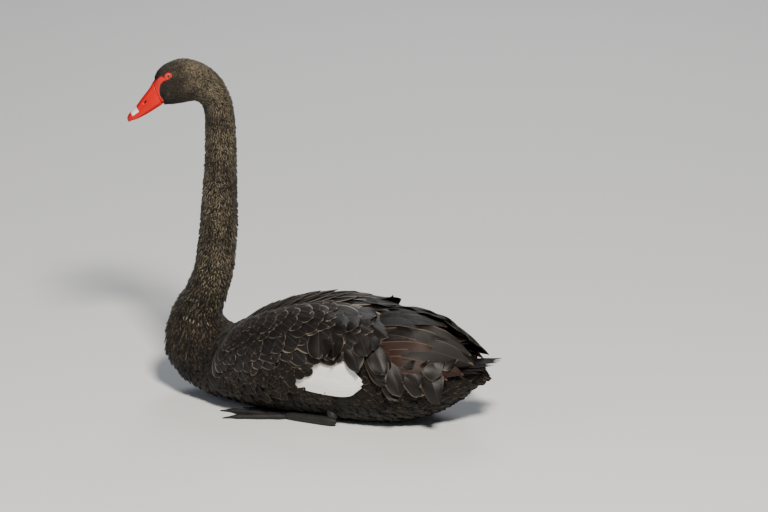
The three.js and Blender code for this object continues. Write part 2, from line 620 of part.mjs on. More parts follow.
add("primaries_right", mirrored(flight), WHITE, 0.7);
add("tail", tail, BLACK, 0.8);
const legSolid = leg().subtract(grownTrunk);
add("leg_left", legSolid, FOOT_BLACK, 0.6);
add("leg_right", mirrored(legSolid), FOOT_BLACK, 0.6);

export default swan;
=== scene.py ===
"""A black swan at life size, still, resting on its belly: the look model.

The script works in millimetres and turns them into metres as each mesh is made. The bird faces -X, its
left side is towards -Y and +Z is up.
"""

import logging
import math
from dataclasses import dataclass, field
from enum import Enum

import bpy
import numpy as np
from mathutils import Matrix, Vector


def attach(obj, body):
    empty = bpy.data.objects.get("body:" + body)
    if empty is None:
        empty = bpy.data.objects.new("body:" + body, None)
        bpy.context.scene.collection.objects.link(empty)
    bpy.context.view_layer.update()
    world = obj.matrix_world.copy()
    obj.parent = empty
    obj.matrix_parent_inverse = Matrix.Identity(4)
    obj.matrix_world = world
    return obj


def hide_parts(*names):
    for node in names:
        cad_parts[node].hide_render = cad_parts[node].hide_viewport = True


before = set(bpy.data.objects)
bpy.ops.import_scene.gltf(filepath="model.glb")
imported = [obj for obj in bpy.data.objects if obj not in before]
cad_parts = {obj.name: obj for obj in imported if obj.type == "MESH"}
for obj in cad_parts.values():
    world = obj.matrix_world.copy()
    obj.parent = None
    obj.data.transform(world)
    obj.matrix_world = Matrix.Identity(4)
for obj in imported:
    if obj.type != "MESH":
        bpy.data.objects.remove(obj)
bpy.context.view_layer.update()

log = logging.getLogger("black_swan")

MM = 0.001
Array = np.ndarray
Colour = tuple[float, float, float]


# The shape of the body, shared with the solids.


@dataclass(frozen=True)
class Section:
    """One section of the body: its dorsal and ventral points (x, z) and its half width."""

    name: str
    dorsal: tuple[float, float]
    ventral: tuple[float, float]
    half: float


SECTIONS = (
    Section("vent", (312, 98), (312, 84), 9),
    Section("under tail", (292, 111), (290, 66), 30),
    Section("rump", (255, 125), (255, 38), 55),
    Section("hips", (205, 146), (205, 13), 82),
    Section("loin", (140, 172), (140, -2), 104),
    Section("back", (60, 188), (60, -6), 114),
    Section("mantle", (-20, 180), (-20, -6), 115),
    Section("shoulders", (-80, 160), (-80, -4), 109),
    Section("crop", (-118, 143), (-130, 1), 98),
    Section("low breast", (-143, 131), (-190, 9), 84),
    Section("breast", (-155, 125), (-243, 33), 68),
    Section("breast front", (-161, 123), (-272, 72), 56),
    Section("neck foot", (-166, 125), (-273, 110), 48),
    Section("neck root", (-173, 130), (-263, 143), 42),
    Section("neck bend", (-179, 142), (-251, 167), 38),
    Section("low neck", (-170, 172), (-233, 196), 34.5),
    Section("neck at a quarter", (-156, 223), (-218, 236), 32),
    Section("neck at a half", (-149, 291), (-210, 296), 30.5),
    Section("high neck", (-148, 360), (-204, 362), 28),
    Section("neck top", (-148, 420), (-200, 421), 26),
    Section("throat bend", (-149, 466), (-199, 464), 24.7),
    Section("nape foot", (-151, 503), (-199.5, 496), 24),
    Section("nape", (-157, 533), (-202, 512), 23.8),
    Section("nape top", (-171, 562), (-207, 522), 24),
    Section("back of the head", (-191, 583), (-216, 527), 24.5),
    Section("hind crown", (-214, 595.5), (-227, 526), 25),
    Section("crown", (-239, 600), (-241, 523), 25),
    Section("eyes", (-263, 592.5), (-255, 521), 24),
    Section("forehead", (-279.5, 580), (-263.5, 520.5), 21),
    Section("bill foot", (-288.4, 562), (-270, 519.5), 17.5),
)
BODY_FULLNESS = 0.92
LAST_PLACE = len(SECTIONS) - 1

HEAD_TURN = math.radians(22)
NECK_AXIS_X = -176
TURN_STARTS_Z = 330
TURN_ENDS_Z = 500

NECK_ROOT_PLACE = 13
FLANK_SAMPLES = 241


def smoothstep(value: Array, low: float, high: float) -> Array:
    """Ease from 0 at low to 1 at high.

    Args:
        value: The numbers to ease.
        low: Where the result starts to leave 0.
        high: Where it reaches 1.

    Returns:
        Numbers from 0 to 1.
    """
    t = np.clip((np.asarray(value, float) - low) / (high - low), 0, 1)
    return t * t * (3 - 2 * t)


def curve_through(values: Array, place: Array) -> Array:
    """Follow a Catmull-Rom curve through evenly spaced values.

    Args:
        values: The values that the curve passes through.
        place: Where to read it, counted in steps from the first value.

    Returns:
        The curve's value at each place.
    """
    v = np.asarray(values, float)
    last = len(v) - 1
    i = np.clip(np.floor(place).astype(int), 0, last - 1)
    t = place - i
    b, c = v[i], v[i + 1]
    a = np.where(i > 0, v[np.maximum(i - 1, 0)], 2 * b - c)
    d = np.where(i + 2 <= last, v[np.minimum(i + 2, last)], 2 * c - b)
    return 0.5 * (2 * b + (c - a) * t + (2 * a - 5 * b + 4 * c - d) * t**2 + (3 * b - a - 3 * c + d) * t**3)


def unit(v: Array) -> Array:
    """Scale vectors along the last axis to length 1."""
    return v / np.maximum(np.linalg.norm(v, axis=-1, keepdims=True), 1e-9)


def fuller(wave: Array, power: float) -> Array:
    """Raise the size of a sine or cosine to a power, which fills out a rounded section below 1."""
    return np.sign(wave) * np.abs(wave) ** power


def head_turn_at(points: Array) -> Array:
    """Give the turn to the left at the height of each point: none low on the neck, all of it at the head."""
    return HEAD_TURN * smoothstep(points[..., 2], TURN_STARTS_Z, TURN_ENDS_Z)


def turned(points: Array) -> Array:
    """Turn the head and the upper neck to the left about the neck's upright axis.

    Args:
        points: Points of the bird with its head straight ahead.

    Returns:
        The same points with the head turned.
    """
    angle = head_turn_at(points)
    x, y = points[..., 0] - NECK_AXIS_X, points[..., 1]
    cos, sin = np.cos(angle), np.sin(angle)
    return np.stack([NECK_AXIS_X + x * cos - y * sin, x * sin + y * cos, points[..., 2]], axis=-1)


class Body:
    """The loft of the trunk, neck and head.

    A place counts SECTIONS, and an angle runs from the back to the left.
    """

    STEP = 0.03
    OUTWARD = 2.0

    def __init__(self) -> None:
        """Read the sections, and measure the flank from the neck's root to the vent."""
        ends = [(end, axis) for end in ("dorsal", "ventral") for axis in (0, 1)]
        self.tracks = [np.array([getattr(s, end)[axis] for s in SECTIONS], float) for end, axis in ends]
        self.halves = np.array([s.half for s in SECTIONS], float)
        self.flank_places = np.linspace(NECK_ROOT_PLACE, 0, FLANK_SAMPLES)
        path = self.point(self.flank_places, np.full_like(self.flank_places, math.pi / 2))
        runs = np.linalg.norm(np.diff(path, axis=0), axis=1)
        self.flank_distances = np.concatenate([[0], np.cumsum(runs)])

    def point(self, place: Array, angle: Array, margin: Array | float = 0) -> Array:
        """Find points on the body's surface.

        Args:
            place: Places along SECTIONS.
            angle: Angles round the body, in radians.
            margin: How far outside the surface.

        Returns:
            The points, in millimetres.
        """
        place, angle = np.broadcast_arrays(np.asarray(place, float), np.asarray(angle, float))
        dx, dz, vx, vz = (curve_through(track, place) for track in self.tracks)
        length = np.hypot(dx - vx, dz - vz)
        up = (length / 2 + margin) * fuller(np.cos(angle), BODY_FULLNESS)
        half = (curve_through(self.halves, place) + margin) * fuller(np.sin(angle), BODY_FULLNESS)
        x = (dx + vx) / 2 + up * (dx - vx) / length
        z = (dz + vz) / 2 + up * (dz - vz) / length
        return turned(np.stack([x, -half, np.maximum(z, 0)], axis=-1))

    def frame(self, place: Array, angle: Array) -> tuple[Array, Array, Array, Array]:
        """Find points and the directions there.

        Args:
            place: Places along SECTIONS.
            angle: Angles round the body, in radians.

        Returns:
            The points, and the directions backwards, onwards round the body and outwards.
        """
        step = self.STEP
        here = self.point(place, angle)
        back = unit(self.point(place - step, angle) - self.point(place + step, angle))
        onwards = unit(self.point(place, angle + step) - self.point(place, angle - step))
        out = unit(np.cross(onwards, back))
        outside = self.point(place, angle, self.OUTWARD) - here
        return here, back, onwards, out * np.sign(np.sum(out * outside, axis=-1, keepdims=True))

    def place_at(self, distance: Array) -> Array:
        """Turn a distance rearwards along the flank into a place along SECTIONS."""
        return np.interp(distance, self.flank_distances, self.flank_places)

    def round_radius(self, place: Array) -> Array:
        """Give the mean radius of the section at each place."""
        dx, dz, vx, vz = (curve_through(track, place) for track in self.tracks)
        return (np.hypot(dx - vx, dz - vz) / 2 + curve_through(self.halves, place)) / 2


BODY = Body()

# The margin and the span of the flat layout of the OFBake maps.
BAKE_MARGIN = 0.02
BAKE_SPAN = 0.96


def bake_place(place: Array, angle: Array) -> Array:
    """Lay places and angles out flat, inside 0 to 1, as the skin's own unwrap does.

    Args:
        place: Places along SECTIONS.
        angle: Angles round the body, in radians.

    Returns:
        One pair for each.
    """
    around = np.mod(np.asarray(angle, float) + math.pi, 2 * math.pi) / (2 * math.pi)
    along = np.asarray(place, float)
    return np.stack([BAKE_MARGIN + BAKE_SPAN * around, BAKE_MARGIN + BAKE_SPAN * along / LAST_PLACE], axis=-1)


# Meshes and materials.


def build_mesh(
    name: str,
    points: Array,
    faces: Array | list,
    material: bpy.types.Material,
    nodes: tuple[str, ...] = (),
    uvs: dict[str, Array] | None = None,
    attributes: dict[str, Array] | None = None,
) -> bpy.types.Object:
    """Make a smooth piece from points in millimetres.

    Args:
        name: The piece's name.
        points: Its vertices.
        faces: Its faces, as indices of vertices.
        material: Its finish.
        nodes: The solids it stands for.
        uvs: Maps with one pair for each corner of each face.
        attributes: Numbers with one for each vertex.

    Returns:
        The new object, which rides the root body.
    """
    mesh = bpy.data.meshes.new(name)
    vertices = (np.asarray(points).reshape(-1, 3) * MM).tolist()
    mesh.from_pydata(vertices, [], faces if isinstance(faces, list) else faces.tolist())
    for key, pairs in (uvs or {}).items():
        mesh.uv_layers.new(name=key).data.foreach_set("uv", np.asarray(pairs, np.float32).ravel())
    for key, numbers in (attributes or {}).items():
        values = np.asarray(numbers, np.float32).ravel()
        mesh.attributes.new(key, "FLOAT", "POINT").data.foreach_set("value", values)
    smooth_all(mesh)
    mesh.materials.append(material)
    mesh.update()
    piece = bpy.data.objects.new(name, mesh)
    bpy.context.scene.collection.objects.link(piece)
    return dressed(piece, nodes)


def smooth_all(mesh: bpy.types.Mesh) -> None:
    """Shade every face smooth."""
    mesh.polygons.foreach_set("use_smooth", [True] * len(mesh.polygons))


def dressed(piece: bpy.types.Object, nodes: tuple[str, ...] = ()) -> bpy.types.Object:
    """Attach a piece to the root body, and hide the solids that it stands for.

    Args:
        piece: The piece.
        nodes: The solids it stands for.

    Returns:
        The same piece.
    """
    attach(piece, "root")
    if nodes:
        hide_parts(*nodes)
    return piece


def grid_faces(rows: int, columns: int, closed: bool = False) -> Array:
    """List the quads of a grid of points, row by row.

    Args:
        rows: How many rows of faces there are.
        columns: How many faces each row has.
        closed: Whether each row is joined round to its start.

    Returns:
        The quads, as (faces, 4).
    """
    width = columns if closed else columns + 1
    r, c = np.meshgrid(np.arange(rows), np.arange(columns), indexing="ij")
    right = (c + 1) % width
    here, below = r * width, (r + 1) * width
    return np.stack([here + c, here + right, below + right, below + c], axis=-1).reshape(-1, 4)


def capped_loft(rings: int, segments: int, pairs: Array) -> tuple[Array, list[list[int]], Array, Array]:
    """List the faces of a closed loft and the corners of its map.

    Args:
        rings: How many rings of faces it has.
        segments: How many faces each ring has.
        pairs: A place on the map for each vertex.

    Returns:
        All its faces with both end caps, and the map's pairs at the corners of the quads and of the caps.
    """
    quads = grid_faces(rings, segments, closed=True)
    last = rings * segments
    caps = [list(range(segments))[::-1], list(range(last, last + segments))]
    everything = [list(map(int, quad)) for quad in quads] + caps
    return everything, pairs[quads], np.concatenate([pairs[cap] for cap in caps])


class Shader:
    """A material's node tree, built up one node at a time."""

    def __init__(self, name: str) -> None:
        """Start a material.

        Args:
            name: Its name.
        """
        self.material = bpy.data.materials.new(name)
        self.material.use_nodes = True
        self.tree = self.material.node_tree
        self.surface = self.tree.nodes["Principled BSDF"]

    def node(self, kind: str, **settings: object) -> bpy.types.Node:
        """Add a node.

        Args:
            kind: Its type's name.
            **settings: Its properties.

        Returns:
            The node.
        """
        new = self.tree.nodes.new(kind)
        for key, value in settings.items():
            setattr(new, key, value)
        return new

    def feed(self, socket: bpy.types.NodeSocket, value: object) -> None:
        """Link a socket to another, or set its value.

        Args:
            socket: The socket.
            value: Another node's output, a number or a colour.
        """
        if isinstance(value, bpy.types.NodeSocket):
            self.tree.links.new(value, socket)
        elif isinstance(value, tuple) and len(value) == 3 and socket.type == "RGBA":
            socket.default_value = (*value, 1)
        else:
            socket.default_value = value

    def math(self, operation: str, a: object, b: object = 0.0, c: object = 0.0) -> bpy.types.NodeSocket:
        """Work out a sum.

        Args:
            operation: The sum's name.
            a: The first socket or number.
            b: The second.
            c: The third.

        Returns:
            The result.
        """
        new = self.node("ShaderNodeMath", operation=operation)
        for socket, value in zip(new.inputs, (a, b, c)):
            self.feed(socket, value)
        return new.outputs[0]

    def ramp(
        self, value: object, low: float, high: float, start: float = 0.0, end: float = 1.0
    ) -> bpy.types.NodeSocket:
        """Ease from start to end.

        Args:
            value: What decides.
            low: Where the result leaves start.
            high: Where it reaches end.
            start: The result up to low.
            end: The result from high on.

        Returns:
            The result.
        """
        new = self.node("ShaderNodeMapRange", interpolation_type="SMOOTHSTEP")
        sockets = ("Value", "From Min", "From Max", "To Min", "To Max")
        for key, given in zip(sockets, (value, low, high, start, end)):
            self.feed(new.inputs[key], given)
        return new.outputs[0]

    def mix(self, share: object, a: object, b: object, blend: str = "MIX") -> bpy.types.NodeSocket:
        """Mix two colours.

        Args:
            share: How much of the second.
            a: The first.
            b: The second.
            blend: The way they are mixed.

        Returns:
            The mixed colour.
        """
        new = self.node("ShaderNodeMix", data_type="RGBA", blend_type=blend)
        colour_a, colour_b = (new.inputs[i] for i in (6, 7))
        self.feed(new.inputs[0], share)
        self.feed(colour_a, a)
        self.feed(colour_b, b)
        return new.outputs[2]

    def noise(self, scale: float, detail: float = 2.0) -> bpy.types.NodeSocket:
        """Make noise on the object's own coordinates.

        Args:
            scale: How fine it is.
            detail: How many finer layers it has.

        Returns:
            Numbers from 0 to 1.
        """
        new = self.node("ShaderNodeTexNoise")
        new.inputs["Scale"].default_value = scale
        new.inputs["Detail"].default_value = detail
        self.feed(new.inputs["Vector"], self.node("ShaderNodeTexCoord").outputs["Object"])
        return new.outputs[0]

    def attribute(self, name: str) -> bpy.types.NodeSocket:
        """Read one of the mesh's own numbers."""
        return self.node("ShaderNodeAttribute", attribute_name=name).outputs["Fac"]

    def uv(self, name: str) -> tuple[bpy.types.NodeSocket, bpy.types.NodeSocket]:
        """Read a map.

        Args:
            name: Its name.

        Returns:
            Its two coordinates.
        """
        split = self.node("ShaderNodeSeparateXYZ")
        self.feed(split.inputs[0], self.node("ShaderNodeUVMap", uv_map=name).outputs[0])
        return split.outputs[0], split.outputs[1]

    def bump(self, height: object, strength: float, distance: float) -> None:
        """Raise the surface a little.

        Args:
            height: What raises it.
            strength: How much of it shows.
            distance: How high it stands, in metres.
        """
        new = self.node("ShaderNodeBump")
        new.inputs["Strength"].default_value = strength
        new.inputs["Distance"].default_value = distance
        self.feed(new.inputs["Height"], height)
        self.feed(self.surface.inputs["Normal"], new.outputs[0])

    def finish(self, colour: object, roughness: object = 0.5, **sockets: object) -> bpy.types.Material:
        """Set the surface.

        Args:
            colour: Its base colour.
            roughness: Its roughness.
            **sockets: Values of its other sockets, with underlines for the spaces in their names.

        Returns:
            The finished material.
        """
        self.feed(self.surface.inputs["Base Color"], colour)
        self.feed(self.surface.inputs["Roughness"], roughness)
        for key, value in sockets.items():
            self.feed(self.surface.inputs[key.replace("_", " ")], value)
        return self.material


@dataclass(frozen=True)
class FeatherFinish:
    """The colours and the gloss of a kind of feather."""

    name: str
    middle: Colour
    fringe: Colour
    fringe_from: float
    tip_from: float
    shaft: float
    barbs: float
    roughness: float
    sheen: float
    gloss: float

    TIP_ENDS = 0.998
    WEAR = 900
    WEAR_RANGE = (0.3, 0.65, 0.45, 1.0)
    TONE_RANGE = (0.5, 1.5, 0.5, 1.15)
    SHAFT_RANGE = (0.02, 0.07)
    BARB_SLANT = -0.5
    BARB_DEPTH = 0.16
    BARB_BUMP = (0.25, 0.0004)

    def material(self) -> bpy.types.Material:
        """Make a dark middle, a pale worn fringe, a shaft and slanting barbs, in each feather's tone.

        Returns:
            The material.
        """
        s = Shader(self.name)
        across, along = s.uv("Feather")
        side = s.math("ABSOLUTE", s.math("MULTIPLY_ADD", across, 2.0, -1.0))
        # The tone holds each feather's own lightness, and on the head, the neck's foot and the upper coverts
        # also painted light and shade.
        tone = s.attribute("tone")
        worn = s.noise(self.WEAR)
        at_tip = s.ramp(along, self.tip_from, self.TIP_ENDS)
        edge = s.math("MAXIMUM", s.ramp(side, self.fringe_from, 1.0), at_tip)
        edge = s.math("MULTIPLY", edge, s.ramp(worn, *self.WEAR_RANGE))
        edge = s.math("MULTIPLY", edge, s.ramp(tone, *self.TONE_RANGE))
        run = s.math("MULTIPLY_ADD", side, self.BARB_SLANT, along)
        barb = s.math("SINE", s.math("MULTIPLY", run, self.barbs))
        colour = s.mix(s.math("MINIMUM", edge, 1.0), self.middle, self.fringe)
        colour = s.mix(s.ramp(side, *self.SHAFT_RANGE, self.shaft, 0.0), colour, self.fringe)
        light = s.math("MULTIPLY", s.math("MULTIPLY_ADD", barb, self.BARB_DEPTH, 1.0), tone)
        grey = s.node("ShaderNodeCombineColor")
        for socket in grey.inputs:
            s.feed(socket, light)
        colour = s.mix(1.0, colour, grey.outputs[0], "MULTIPLY")
        s.bump(barb, *self.BARB_BUMP)
        return s.finish(colour, self.roughness, Sheen_Weight=self.sheen, Specular_IOR_Level=self.gloss)


class Finish(Enum):
    """The kinds of feather.

    After its two colours each one says where the fringe starts across and along, how much the shaft shows,
    how many barbs there are, and its roughness, sheen and gloss.
    """

    NECK = FeatherFinish(
        "neck feathers", (0.008, 0.0062, 0.0045), (0.2, 0.165, 0.11), 0.42, 0.88, 0.05, 26, 0.7, 0.1, 0.15
    )
    HEAD = FeatherFinish(
        "head feathers", (0.012, 0.0095, 0.0068), (0.19, 0.155, 0.105), 0.35, 0.75, 0.0, 16, 0.8, 0.12, 0.12
    )
    BREAST = FeatherFinish(
        "breast feathers",
        (0.0055, 0.0042, 0.0033),
        (0.085, 0.062, 0.04),
        *(0.68, 0.93, 0.05, 50, 0.65, 0.05, 0.15),
    )
    COVERT = FeatherFinish(
        "wing coverts", (0.006, 0.0043, 0.0034), (0.21, 0.175, 0.138), 0.78, 0.945, 0.1, 120, 0.46, 0.04, 0.25
    )
    CURLED = FeatherFinish(
        "curled wing feathers",
        (0.0062, 0.0043, 0.0034),
        (0.13, 0.098, 0.07),
        *(0.9, 0.968, 0.12, 190, 0.4, 0.0, 0.32),
    )
    TERTIAL = FeatherFinish(
        "long wing feathers",
        (0.0062, 0.0043, 0.0033),
        (0.12, 0.09, 0.064),
        *(0.9, 0.97, 0.12, 260, 0.46, 0.0, 0.24),
    )
    RUSTY = FeatherFinish(
        "rusty wing feathers",
        (0.017, 0.0065, 0.0038),
        (0.11, 0.055, 0.03),
        *(0.9, 0.968, 0.16, 220, 0.46, 0.0, 0.24),
    )
    WHITE = FeatherFinish(
        "white flight feathers", (0.88, 0.86, 0.82), (0.97, 0.96, 0.94), 0.7, 0.9, 0.15, 300, 0.55, 0.0, 0.15
    )
    TAIL = FeatherFinish(
        "tail feathers", (0.006, 0.0046, 0.0036), (0.08, 0.06, 0.04), 0.84, 0.955, 0.1, 220, 0.5, 0.0, 0.2
    )


# Feathers.


WIDEST = 0.62
ROOT_WIDTH = 0.5
TIP_POWER = 2.2
TIP_CROWDING = 1.5
LIFT_POWER = 0.8
PHASES = 6


def vane_width(t: Array) -> Array:
    """Give a vane's half width along its length.

    Args:
        t: Shares of its length, from the root.

    Returns:
        Shares of its widest half width.
    """
    rising = ROOT_WIDTH + (1 - ROOT_WIDTH) * np.sin(np.clip(t / WIDEST, 0, 1) * math.pi / 2)
    falling = np.sqrt(1 - np.clip((t - WIDEST) / (1 - WIDEST), 0, 1) ** TIP_POWER)
    return np.where(t < WIDEST, rising, falling)


def vane_grid(rows: int, columns: int) -> tuple[Array, Array]:
    """Lay out one vane, with its rows closer together at the tip.

    Args:
        rows: How many rows of faces it has.
        columns: How many columns of faces it has.

    Returns:
        The shares along and across it, as (rows + 1, columns + 1).
    """
    along = 1 - np.linspace(1, 0, rows + 1) ** TIP_CROWDING
    t, a = np.meshgrid(along, np.linspace(-1, 1, columns + 1), indexing="ij")
    return t, a


class Plumage:
    """A piece made of many feathers, which all have the same rows and columns of faces."""

    PATCH = 0.003
    PATCH_MARGIN = 0.004

    def __init__(
        self, name: str, finish: Finish, rows: int, columns: int, slot: str = "plumage_black"
    ) -> None:
        """Start an empty piece.

        Args:
            name: The piece's name.
            finish: The kind of feather.
            rows: How many rows of faces each feather has.
            columns: How many columns of faces each has.
            slot: Not used.
        """
        self.name, self.finish, self.slot = name, finish, slot
        self.rows, self.columns = rows, columns
        self.points: list[Array] = []
        self.faces: list[Array] = []
        self.feather_uvs: list[Array] = []
        self.bake_uvs: list[Array] = []
        self.tones: list[Array] = []
        self.count = 0

    def add(self, points: Array, tone: Array, roots: Array) -> None:
        """Add feathers.

        Args:
            points: Their vertices, as (feathers, rows + 1, columns + 1, 3).
            tone: How light each is.
            roots: Where each root lies on the skin's unwrap.
        """
        n, each = len(points), (self.rows + 1) * (self.columns + 1)
        faces = grid_faces(self.rows, self.columns)
        t, a = vane_grid(self.rows, self.columns)
        uv = np.stack([(a.ravel() + 1) / 2, t.ravel()], axis=-1)[faces]
        starts = (self.count + each * np.arange(n))[:, None, None]
        patches = np.clip(roots, self.PATCH_MARGIN, 1 - self.PATCH_MARGIN)[:, None, None]
        self.points.append(points.reshape(-1, 3))
        self.faces.append((faces[None] + starts).reshape(-1, 4))
        self.feather_uvs.append(np.broadcast_to(uv[None], (n, *uv.shape)).reshape(-1, 2))
        self.bake_uvs.append((patches + self.PATCH * (uv[None] - 0.5)).reshape(-1, 2))
        self.tones.append(np.repeat(tone, each))
        self.count += n * each

    def finish_piece(self, nodes: tuple[str, ...] = ()) -> bpy.types.Object:
        """Join the feathers into one piece.

        Args:
            nodes: The solids it stands for.

        Returns:
            The piece.
        """
        log.info("%s: %d triangles", self.name, 2 * sum(len(f) for f in self.faces))
        return build_mesh(
            self.name,
            np.concatenate(self.points),
            np.concatenate(self.faces),
            self.finish.value.material(),
            nodes,
            {"OFBake": np.concatenate(self.bake_uvs), "Feather": np.concatenate(self.feather_uvs)},
            {"tone": np.concatenate(self.tones)},
        )


def spread_out(values: Array) -> Array:
    """Give one number for each feather two more axes, for its rows and columns."""
    return np.atleast_1d(np.asarray(values, float))[:, None, None]


@dataclass
class SmallFeathers:
    """Small feathers laid on the skin, flat on their own tangent planes."""

    place: Array
    angle: Array
    length: Array
    width: Array
    slant: Array
    sunk: float
    lift: Array

    CURL = 0.6
    CURL_DEPTH = 0.1
    TIP_ROUND = 0.06

    def points(self, rows: int, columns: int) -> Array:
        """Work out the vertices.

        Args:
            rows: How many rows of faces each has.
            columns: How many columns of faces each has.

        Returns:
            The vertices, as (feathers, rows + 1, columns + 1, 3).
        """
        t, a = vane_grid(rows, columns)
        here, back, onwards, out = BODY.frame(self.place, self.angle)
        cos, sin = np.cos(self.slant)[:, None], np.sin(self.slant)[:, None]
        heading, side = back * cos + onwards * sin, onwards * cos - back * sin
        s = spread_out(self.length) * t * (1 - self.TIP_ROUND * a * a * t)
        w = spread_out(self.width) / 2 * vane_width(t) * a
        radius = spread_out(BODY.round_radius(self.place))
        rise = (spread_out(self.lift) + self.sunk) * t**LIFT_POWER
        cupped = self.CURL * a * a * spread_out(self.width) * self.CURL_DEPTH
        height = -self.sunk + rise - w * w / (2 * radius) - cupped
        here, heading, side, out = (v[:, None, None, :] for v in (here, heading, side, out))
        return here + heading * s[..., None] + side * w[..., None] + out * height[..., None]


@dataclass
class LargeFeathers:
    """Larger feathers laid over the flank, following the body as they go.

    A root lies at a distance along the flank and an angle round the body. The heights are over the body, and
    the droop, ruffle, curl and twist are in millimetres, apart from the twist, which is a share of the width.
    """

    distance: Array
    angle: Array | float
    slant: Array
    length: Array
    width: Array | float
    root_height: Array | float
    tip_height: Array | float
    droop: float
    ruffle: float
    phase: Array
    curl: Array | float = 0.0
    twist: Array | float = 0.0

    TIP_ROUND = 0.04
    WAVE = 5
    FRILL = 13
    FRILL_SHARE = 0.35
    CURL_FROM = 0.45
    CURL_SPREAD = 0.3

    def points(self, rows: int, columns: int) -> Array:
        """Work out the vertices.

        Args:
            rows: How many rows of faces each has.
            columns: How many columns of faces each has.

        Returns:
            The vertices, as (feathers, rows + 1, columns + 1, 3).
        """
        t, a = vane_grid(rows, columns)
        distance, angle, slant, length, width, root, tip, phase, curl, twist = (
            spread_out(v)
            for v in np.broadcast_arrays(
                self.distance,
                self.angle,
                self.slant,
                self.length,
                self.width,
                self.root_height,
                self.tip_height,
                self.phase,
                self.curl,
                self.twist,
            )
        )
        s = t * length * (1 - self.TIP_ROUND * a * a * t)
        w = a * width / 2 * vane_width(t)
        back = s * np.cos(slant) - w * np.sin(slant)
        down = s * np.sin(slant) + w * np.cos(slant)
        place = BODY.place_at(distance + back)
        height = root + (tip - root) * t**LIFT_POWER - self.droop * a * a
        frill = self.FRILL_SHARE * np.abs(a) * np.sin(self.FRILL * t + 3 * a + phase)
        height = height + self.ruffle * t * (a * np.sin(self.WAVE * t + phase) + frill)
        curled = curl * np.maximum(0, t - self.CURL_FROM) ** 2 / self.CURL_SPREAD
        height = height + curled + twist * a * t * t * width / 2
        return BODY.point(place, angle + down / BODY.round_radius(place), height)


# The body's skin and its coat of small feathers.


EYE = (-261.0, 575.0)
EYE_SIDE = 15.3
EYE_RADIUS = 7.5
BILL_DIP = math.radians(40)


def head_point(forward: Array, above: Array, left: Array) -> Array:
    """Turn places on the head into points.

    Args:
        forward: How far ahead of the eye they are, along the bill.
        above: How far above that line.
        left: How far to the left.

    Returns:
        The points, in millimetres.
    """
    forward, above, left = (np.asarray(v, float) for v in (forward, above, left))
    forward, above, left = np.broadcast_arrays(forward, above, left)
    ahead = forward * math.cos(BILL_DIP) + above * math.sin(BILL_DIP)
    rise = above * math.cos(BILL_DIP) - forward * math.sin(BILL_DIP)
    return turned(np.stack([EYE[0] - ahead, -left, EYE[1] + rise], axis=-1))


def head_place(points: Array) -> tuple[Array, Array]:
    """Turn points back into places on the head.

    Args:
        points: The points, in millimetres.

    Returns:
        How far ahead of the eye they are, along the bill, and how far above that line.
    """
    angle = head_turn_at(points)
    x, y = points[..., 0] - NECK_AXIS_X, points[..., 1]
    straight = NECK_AXIS_X + x * np.cos(angle) + y * np.sin(angle)
    ahead, rise = EYE[0] - straight, points[..., 2] - EYE[1]
    forward = ahead * math.cos(BILL_DIP) - rise * math.sin(BILL_DIP)
    above = ahead * math.sin(BILL_DIP) + rise * math.cos(BILL_DIP)
    return forward, above


# The bare skin of the face: its upper and lower edge as (forward, above), and the softness of the edge.
BARE_UPPER = ((3.5, 1.2), (6.7, 2.8), (12, 8.3), (30, 7))
BARE_LOWER = ((3.5, -2), (10, -1.6), (13.7, -0.6), (20.7, -1.8), (28.7, -9), (34.2, -16.6), (36, -31))
BARE_SOFTNESS = 1.0
BARE_FROM = 3
HEAD_FROM_Z = 450
NOT_BARE = -9


def bareness(points: Array) -> Array:
    """Tell how far points lie in the bare red skin between the eye and the bill.

    Args:
        points: The points, in millimetres.

    Returns:
        Numbers from 0, among feathers, to 1.
    """
    forward, above = head_place(points)
    upper = np.interp(forward, *zip(*BARE_UPPER))
    lower = np.interp(forward, *zip(*BARE_LOWER))
    inside = np.minimum(upper - above, above - lower)
    inside = np.where((forward < BARE_FROM) | (points[..., 2] < HEAD_FROM_Z), NOT_BARE, inside)
    return smoothstep(inside, -BARE_SOFTNESS, BARE_SOFTNESS)


